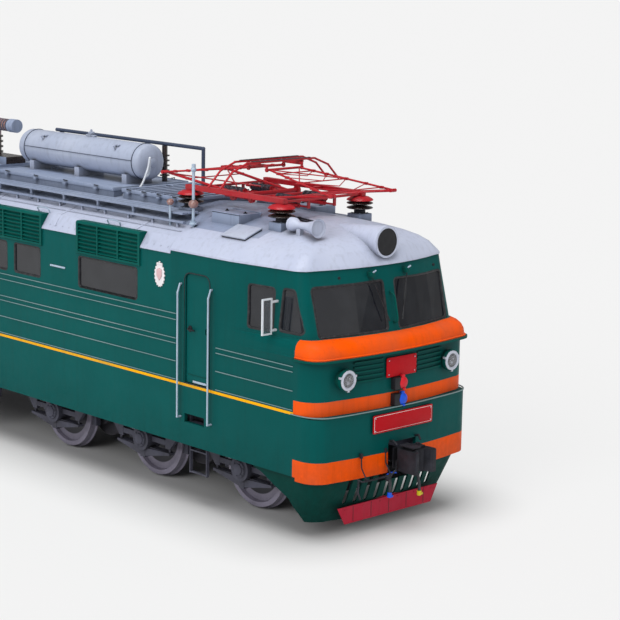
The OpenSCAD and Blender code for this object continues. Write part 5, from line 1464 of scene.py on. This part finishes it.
# contact strips: dark steel with bright screw heads, end horns stay as they are
stripValues = dict(apart=0.13, halfWide=0.022, halfLong=0.58, screws=11, spacing=0.105)
st = stripValues
for end, endName in endNames:
    node = endName + "_panto_head"
    strips = Piece(endName + "_contact_strips", bodyOfNode(node), "wheel_steel")
    for toward in ends:
        x = end * pantoX + toward * st["apart"]
        z = castOn(node, (x, 0.0, 5.6), (0, 0, -1)).z
        strips.box((x - st["halfWide"], -st["halfLong"], z - 0.008),
                   (x + st["halfWide"], st["halfLong"], z + 0.01), springSteel, 0.004)
        for k in range(st["screws"]):
            strips.turned([(0.007, 0), (0.006, 0.003), (0.0, 0.004)],
                          (x, (k - st["screws"] // 2) * st["spacing"], z + 0.009), (0, 0, 1), brightSteel, 8)
    strips.done()
print("pantographs")


# Bogies: leaf springs, axle-box covers, frame bolts, brake pipes
bogieValues = dict(springZ=0.527, springIn=0.15, halfLength=0.56, leafWidth=0.118, leaves=9,
                   leafHeight=0.0145,
                   axleZ=0.655, coverY=1.206, coverBolts=6, boltRing=0.106, pipeZ=1.15, clips=7)
for end, endName in endNames:
    body = bodyOfNode(endName + "_suspension")
    bv = bogieValues
    low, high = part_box(endName + "_suspension")
    centreX = (low.x + high.x) / 2
    springY = abs(low.y) - bv["springIn"]
    springs, covers = [], Piece(endName + "_axle_box_covers", body, "running_gear")
    for axle in (-1, 0, 1):
        x = centreX + axle * axleSpacing
        for side in ends:
            y = side * bv["coverY"]
            springs.append(("leaf", {"Leaves": bv["leaves"], "Half Length": bv["halfLength"],
                                     "Leaf Height": bv["leafHeight"], "Leaf Width": bv["leafWidth"],
                                     "Place": (x, side * springY, bv["springZ"]), "Finish": bogiePaint}))
            covers.turned([(0.125, -0.02), (0.13, 0.0), (0.122, 0.012), (0.09, 0.02), (0.085, 0.034),
                           (0.05, 0.046),
                           (0.0, 0.05)], (x, y - side * 0.01, bv["axleZ"]), (0, side, 0), bogiePaint, 36)
            for a in around(bv["coverBolts"]):
                a, r = a + 0.26, bv["boltRing"]
                covers.turned([(0.013, 0), (0.013, 0.012), (0.006, 0.018), (0.0, 0.018)],
                              (x + r * math.cos(a), y, bv["axleZ"] + r * math.sin(a)), (0, side, 0),
                              bogiePaint, 6)
            # buckle round the middle of the spring, and its nut plate
            covers.box((x - 0.07, side * (abs(low.y) - 0.085), 0.372),
                       (x + 0.07, side * (abs(low.y) - 0.215), 0.55),
                       bogiePaint, 0.012)
            covers.turned([(0.03, 0), (0.03, 0.02), (0.015, 0.026), (0.0, 0.026)],
                          (x, side * springY, 0.352), (0, 0, 1), bogiePaint, 6)
    growPiece(endName + "_leaf_springs", body, springs, angle=30)
    covers.done()
    # side frame: bolt rows, brake pipe and its clips
    body = bodyOfNode(endName + "_bogie_frame")
    low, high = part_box(endName + "_bogie_frame")
    dress = Piece(endName + "_bogie_pipes", body, "running_gear")
    for side in ends:
        face = abs(castOn(endName + "_bogie_frame", (centreX + 0.6, side * 2.0, bv["pipeZ"]),
                          (0, -side, 0)).y)
        z = bv["pipeZ"]
        dress.tube(smoothPath([(low.x + 0.3, side * (face + 0.03), z + 0.03),
                               (centreX - 1.2, side * (face + 0.028), z),
                               (centreX, side * (face + 0.026), z + 0.01),
                               (centreX + 1.2, side * (face + 0.028), z),
                               (high.x - 0.3, side * (face + 0.03), z + 0.03)], 4), 0.019, motorPaint, 8)
        for k in range(bv["clips"]):
            x = low.x + 0.45 + (high.x - low.x - 0.9) * k / (bv["clips"] - 1)
            dress.box((x - 0.02, side * (face - 0.004), z - 0.03),
                      (x + 0.02, side * (face + 0.034), z + 0.05),
                      motorPaint, 0.006)
        for axle in (-1, 1):
            for k in (-1, 1):
                x = centreX + axle * axleSpacing / 2 + k * 0.28
                dress.turned([(0.02, 0), (0.02, 0.014), (0.0, 0.018)], (x, side * (face - 0.002), z - 0.11),
                             (0, side, 0), bogiePaint, 6)
    dress.done()
print("bogies")

# coupler: jaw edges, uncoupling rod and its handle, plate
couplerValues = dict(rodZ=0.885, rodY=-0.9, links=6, linkSpacing=0.026, brackets=(-0.8, -0.32))
iron = Piece("uncoupling_gear", "body", "coupler_black")
cv = couplerValues
iron.tube([(9.95, cv["rodY"], cv["rodZ"] + 0.02), (10.02, cv["rodY"] + 0.02, cv["rodZ"]),
           (10.04, -0.62, cv["rodZ"]),
           (10.03, -0.3, cv["rodZ"] + 0.01), (10.04, -0.24, cv["rodZ"] + 0.06)], 0.013, couplerIron, 8)
iron.tube([(9.96, cv["rodY"] + 0.01, cv["rodZ"] + 0.02), (9.98, cv["rodY"] - 0.02, cv["rodZ"] - 0.16),
           (9.99, cv["rodY"] + 0.02, cv["rodZ"] - 0.26)], 0.014, couplerIron, 8)
for k in range(cv["links"]):
    z = cv["rodZ"] + 0.055 + k * cv["linkSpacing"]
    turn = 0.5 * math.pi * (k % 2)
    ring = [(10.04 + 0.012 * math.cos(a) * math.cos(turn), -0.225 + 0.012 * math.cos(a) * math.sin(turn),
             z + 0.018 * math.sin(a)) for a in around(12, 1)]
    iron.tube(ring, 0.0045, couplerIron, 6, cap=False)
for y in cv["brackets"]:
    iron.tube([(9.905, y, cv["rodZ"] + 0.36), (9.925, y, cv["rodZ"] + 0.16), (10.02, y, cv["rodZ"] + 0.02)],
              0.01,
              couplerIron, 6)
    iron.box((9.895, y - 0.02, cv["rodZ"] + 0.3), (9.93, y + 0.02, cv["rodZ"] + 0.37), couplerIron, 0.005)
    iron.turned([(0.024, -0.014), (0.024, 0.014)], (10.02, y, cv["rodZ"] + 0.005), (0, 1, 0), couplerIron, 12)
iron.box((10.03, -0.17, 1.285), (10.3, 0.0, 1.305), couplerIron, 0.008)
iron.turned([(0.035, 0), (0.035, 0.03), (0.02, 0.04), (0.0, 0.04)], (10.12, 0.12, 1.27), (0, 0, 1),
            couplerIron, 12)
for y in (-0.24, 0.28):
    iron.tube([(9.8, y, 1.3), (9.98, y, 1.36), (10.04, y * 0.9, 1.31)], 0.016, couplerIron, 8)
iron.done(bothEnds=True)
# painted shade: a black plate behind the pilot's upper half, so that its slots look dark
paintedShadePlate = Piece("pilot_painted_shade_plate", "body", "running_gear")
paintedShadePlate.box((9.27, -1.25, 0.52), (9.29, 1.25, 0.985), blackPaint)
paintedShadePlate.done(bothEnds=True)
print("coupler gear")


# Brake hoses: two at each end, from their cocks; each carries a coupling head
hoseValues = dict(radius=0.0225, cock=(9.94, 0.2775, 0.82), pipeRadius=0.03, pipeStart=9.39)
hoseRoutes = {
    "yellow": [(9.94, 0.2775, 0.82), (9.98, 0.2795, 0.79), (10.0, 0.2875, 0.69), (10.005, 0.2995, 0.57),
               (9.99, 0.3115, 0.48)],
    "blue": [(9.94, -0.2775, 0.82), (9.97, -0.2775, 0.78), (9.982, -0.2835, 0.67),
             (9.98, -0.2915, 0.55)]}


for end, endName in endNames:
    for shade, route in hoseRoutes.items():
        points = [Vector((end * x, end * y, z)) for x, y, z in smoothPath(route, 6)]
        hose = Piece("%s_%s_brake_hose" % (endName, shade), "body", "hose_rubber")
        hose.tube(points, hoseValues["radius"], hoseRubber, 16)
        hoseMade = hose.done(angle=50)
        # coupling head with its lug and a clamp
        headFinish = cockYellow if shade == "yellow" else socketBlue
        last, before = points[-1], points[-3]
        along = (last - before).normalized()
        head = Piece("%s_%s_coupling_head" % (endName, shade), "body", "coupler_black")
        head.turned([(0.0, -0.07), (0.031, -0.07), (0.033, -0.055), (0.033, -0.008), (0.031, 0.004),
                     (0.0, 0.004)],
                    last, along, headFinish, 24)
        head.box(last + Vector((-0.03, -0.02, -0.004)), last + Vector((0.03, 0.055, 0.03)), headFinish, 0.01)
        head.turned([(0.0, -0.014), (0.029, -0.014), (0.0295, 0.0), (0.029, 0.014), (0.0, 0.014)], points[3],
                    (points[4] - points[2]).normalized(), couplerIron, 20)
        headMade = head.done()
        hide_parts("brake_hoses")
cocks = Piece("brake_cocks", "body", "coupler_black")
for side in ends:
    at = (hoseValues["cock"][0], side * hoseValues["cock"][1], hoseValues["cock"][2])
    cocks.tube([(hoseValues["pipeStart"], at[1], at[2]), (at[0] + 0.005, at[1], at[2])],
               hoseValues["pipeRadius"], couplerIron, 16)
    cocks.turned([(0.0, -0.045), (0.03, -0.045), (0.042, -0.034), (0.042, 0.034), (0.03, 0.045),
                  (0.0, 0.045)], at,
                 (0, 0, 1), couplerIron, 24)
    finish = cockYellow if side > 0 else socketBlue
    cocks.tube([(at[0], at[1], at[2] + 0.05), (at[0] + 0.01, at[1] + 0.03, at[2] + 0.075),
                (at[0] + 0.03, at[1] + 0.13, at[2] + 0.06)], 0.011, finish, 8)
    cocks.box((at[0] - 0.02, at[1] - 0.02, at[2] + 0.04), (at[0] + 0.02, at[1] + 0.02, at[2] + 0.062), finish,
              0.006)
cocks.done(bothEnds=True, replaces=("brake_hoses",))
print("brake hoses")


# Cab interior: padded seats made by a short cloth run, desk instruments, handles
seatValues = dict(base=(0.46, 0.44, 0.1), back=(0.1, 0.42, 0.5), voxel=0.014, pressure=3.5, frames=14,
                  swell=0.012, x=8.37, y=0.76, baseZ=1.83)


def puffed(size, v):
    # a rounded block, remeshed, blown up a little with its rim held in by the cloth's own stiffness
    work = bmesh.new()
    bmesh.ops.create_cube(work, size=1)
    bmesh.ops.scale(work, vec=size, verts=work.verts)
    bmesh.ops.bevel(work, geom=work.edges[:], offset=min(size) * 0.28, segments=3, affect="EDGES")
    mesh = bpy.data.meshes.new("pad")
    work.to_mesh(mesh)
    work.free()
    pad = bpy.data.objects.new("pad", mesh)
    scene.collection.objects.link(pad)
    remesh = pad.modifiers.new("remesh", "REMESH")
    remesh.mode = "VOXEL"
    remesh.voxel_size = v["voxel"]
    bpy.context.view_layer.update()
    pad.data = bpy.data.meshes.new_from_object(pad.evaluated_get(bpy.context.evaluated_depsgraph_get()))
    pad.modifiers.clear()
    cloth = pad.modifiers.new("cloth", "CLOTH")
    cloth.settings.use_pressure = True
    cloth.settings.uniform_pressure_force = v["pressure"]
    cloth.settings.effector_weights.gravity = 0
    cloth.settings.quality = 4
    cloth.point_cache.frame_end = v["frames"]
    for number in range(1, v["frames"] + 1):
        scene.frame_set(number)
    final = bpy.data.meshes.new_from_object(pad.evaluated_get(bpy.context.evaluated_depsgraph_get()))
    for before, after in zip(pad.data.vertices, final.vertices):
        moved = after.co - before.co
        if moved.length > v["swell"]:
            after.co = before.co + moved * (v["swell"] / moved.length)
    bpy.data.objects.remove(pad)
    scene.frame_set(1)
    return final


padMeshes = {kind: puffed(seatValues[kind], seatValues) for kind in ("base", "back")}
for end, endName in endNames:
    for side in ends:
        turn = Matrix.Rotation(0 if end > 0 else math.pi, 4, "Z")
        label = "%s_%s" % (endName, "right" if side < 0 else "left")
        sx, sy, bottom = seatValues["x"], side * seatValues["y"], seatValues["baseZ"]
        pads = bmesh.new()
        for kind, offset in (("base", (0.0, 0.0, 0.49)), ("back", (-0.2, 0.0, 0.77))):
            copy = padMeshes[kind].copy()
            copy.transform(turn @ Matrix.Translation((sx + offset[0], sy + offset[1], bottom + offset[2])))
            pads.from_mesh(copy)
            bpy.data.meshes.remove(copy)
        mesh = bpy.data.meshes.new(label + "_seat_pads")
        pads.to_mesh(mesh)
        pads.free()
        mesh.materials.append(seatLeather)
        mesh.shade_smooth()
        made = bpy.data.objects.new(label + "_seat_pads", mesh)
        scene.collection.objects.link(made)
        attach(made, "body")
# pedestal, pan, back plate and its bars under each pair of pads
seatBase = Piece("seat_stands", "body", "seat_leather")
for side in ends:
    sx, sy, bottom = seatValues["x"], side * seatValues["y"], seatValues["baseZ"]
    seatBase.turned([(0.17, 0), (0.17, 0.018), (0.05, 0.03), (0.042, 0.06), (0.042, 0.4), (0.09, 0.42)],
                    (sx, sy, bottom), (0, 0, 1), blackPaint, 28)
    seatBase.box((sx - 0.2, sy - 0.2, bottom + 0.415), (sx + 0.2, sy + 0.2, bottom + 0.44), blackPaint)
    seatBase.box((sx - 0.262, sy - 0.19, bottom + 0.46), (sx - 0.25, sy + 0.19, bottom + 1.0), blackPaint)
    for v in (-0.14, 0.14):
        seatBase.tube([(sx - 0.1, sy + v, bottom + 0.42), (sx - 0.24, sy + v, bottom + 0.43),
                       (sx - 0.256, sy + v, bottom + 0.5)], 0.012, blackPaint, 8)
seatBase.done(bothEnds=True, replaces=("driver_seats",))

deskValues = dict(dials=7, first=-0.9, spacing=0.3)
desk = Piece("desk_instruments", "body", "cab_interior")
for i in range(deskValues["dials"]):
    y = deskValues["first"] + deskValues["spacing"] * i
    # dials lie in the sloping top of the desk
    spot = (9.08, y, 2.735)
    desk.turned([(0.07, 0), (0.07, 0.012), (0.06, 0.016), (0.06, 0.008), (0.0, 0.008)], spot, (-0.45, 0, 1),
                silver, 24)
    desk.turned([(0.058, 0.009), (0.0, 0.0095)], spot, (-0.45, 0, 1), blackPaint, 20)
for y in (-0.76, 0.76):
    desk.turned([(0.05, 0), (0.05, 0.05), (0.03, 0.06), (0.0, 0.06)], (9.02, y + 0.16, 2.66), (-0.35, 0, 1),
                blackPaint, 20)
    desk.tube([(9.02, y + 0.16, 2.7), (8.98, y + 0.24, 2.76), (8.97, y + 0.3, 2.77)], 0.012, silver, 8)
desk.done(bothEnds=True)
print("cab interior")
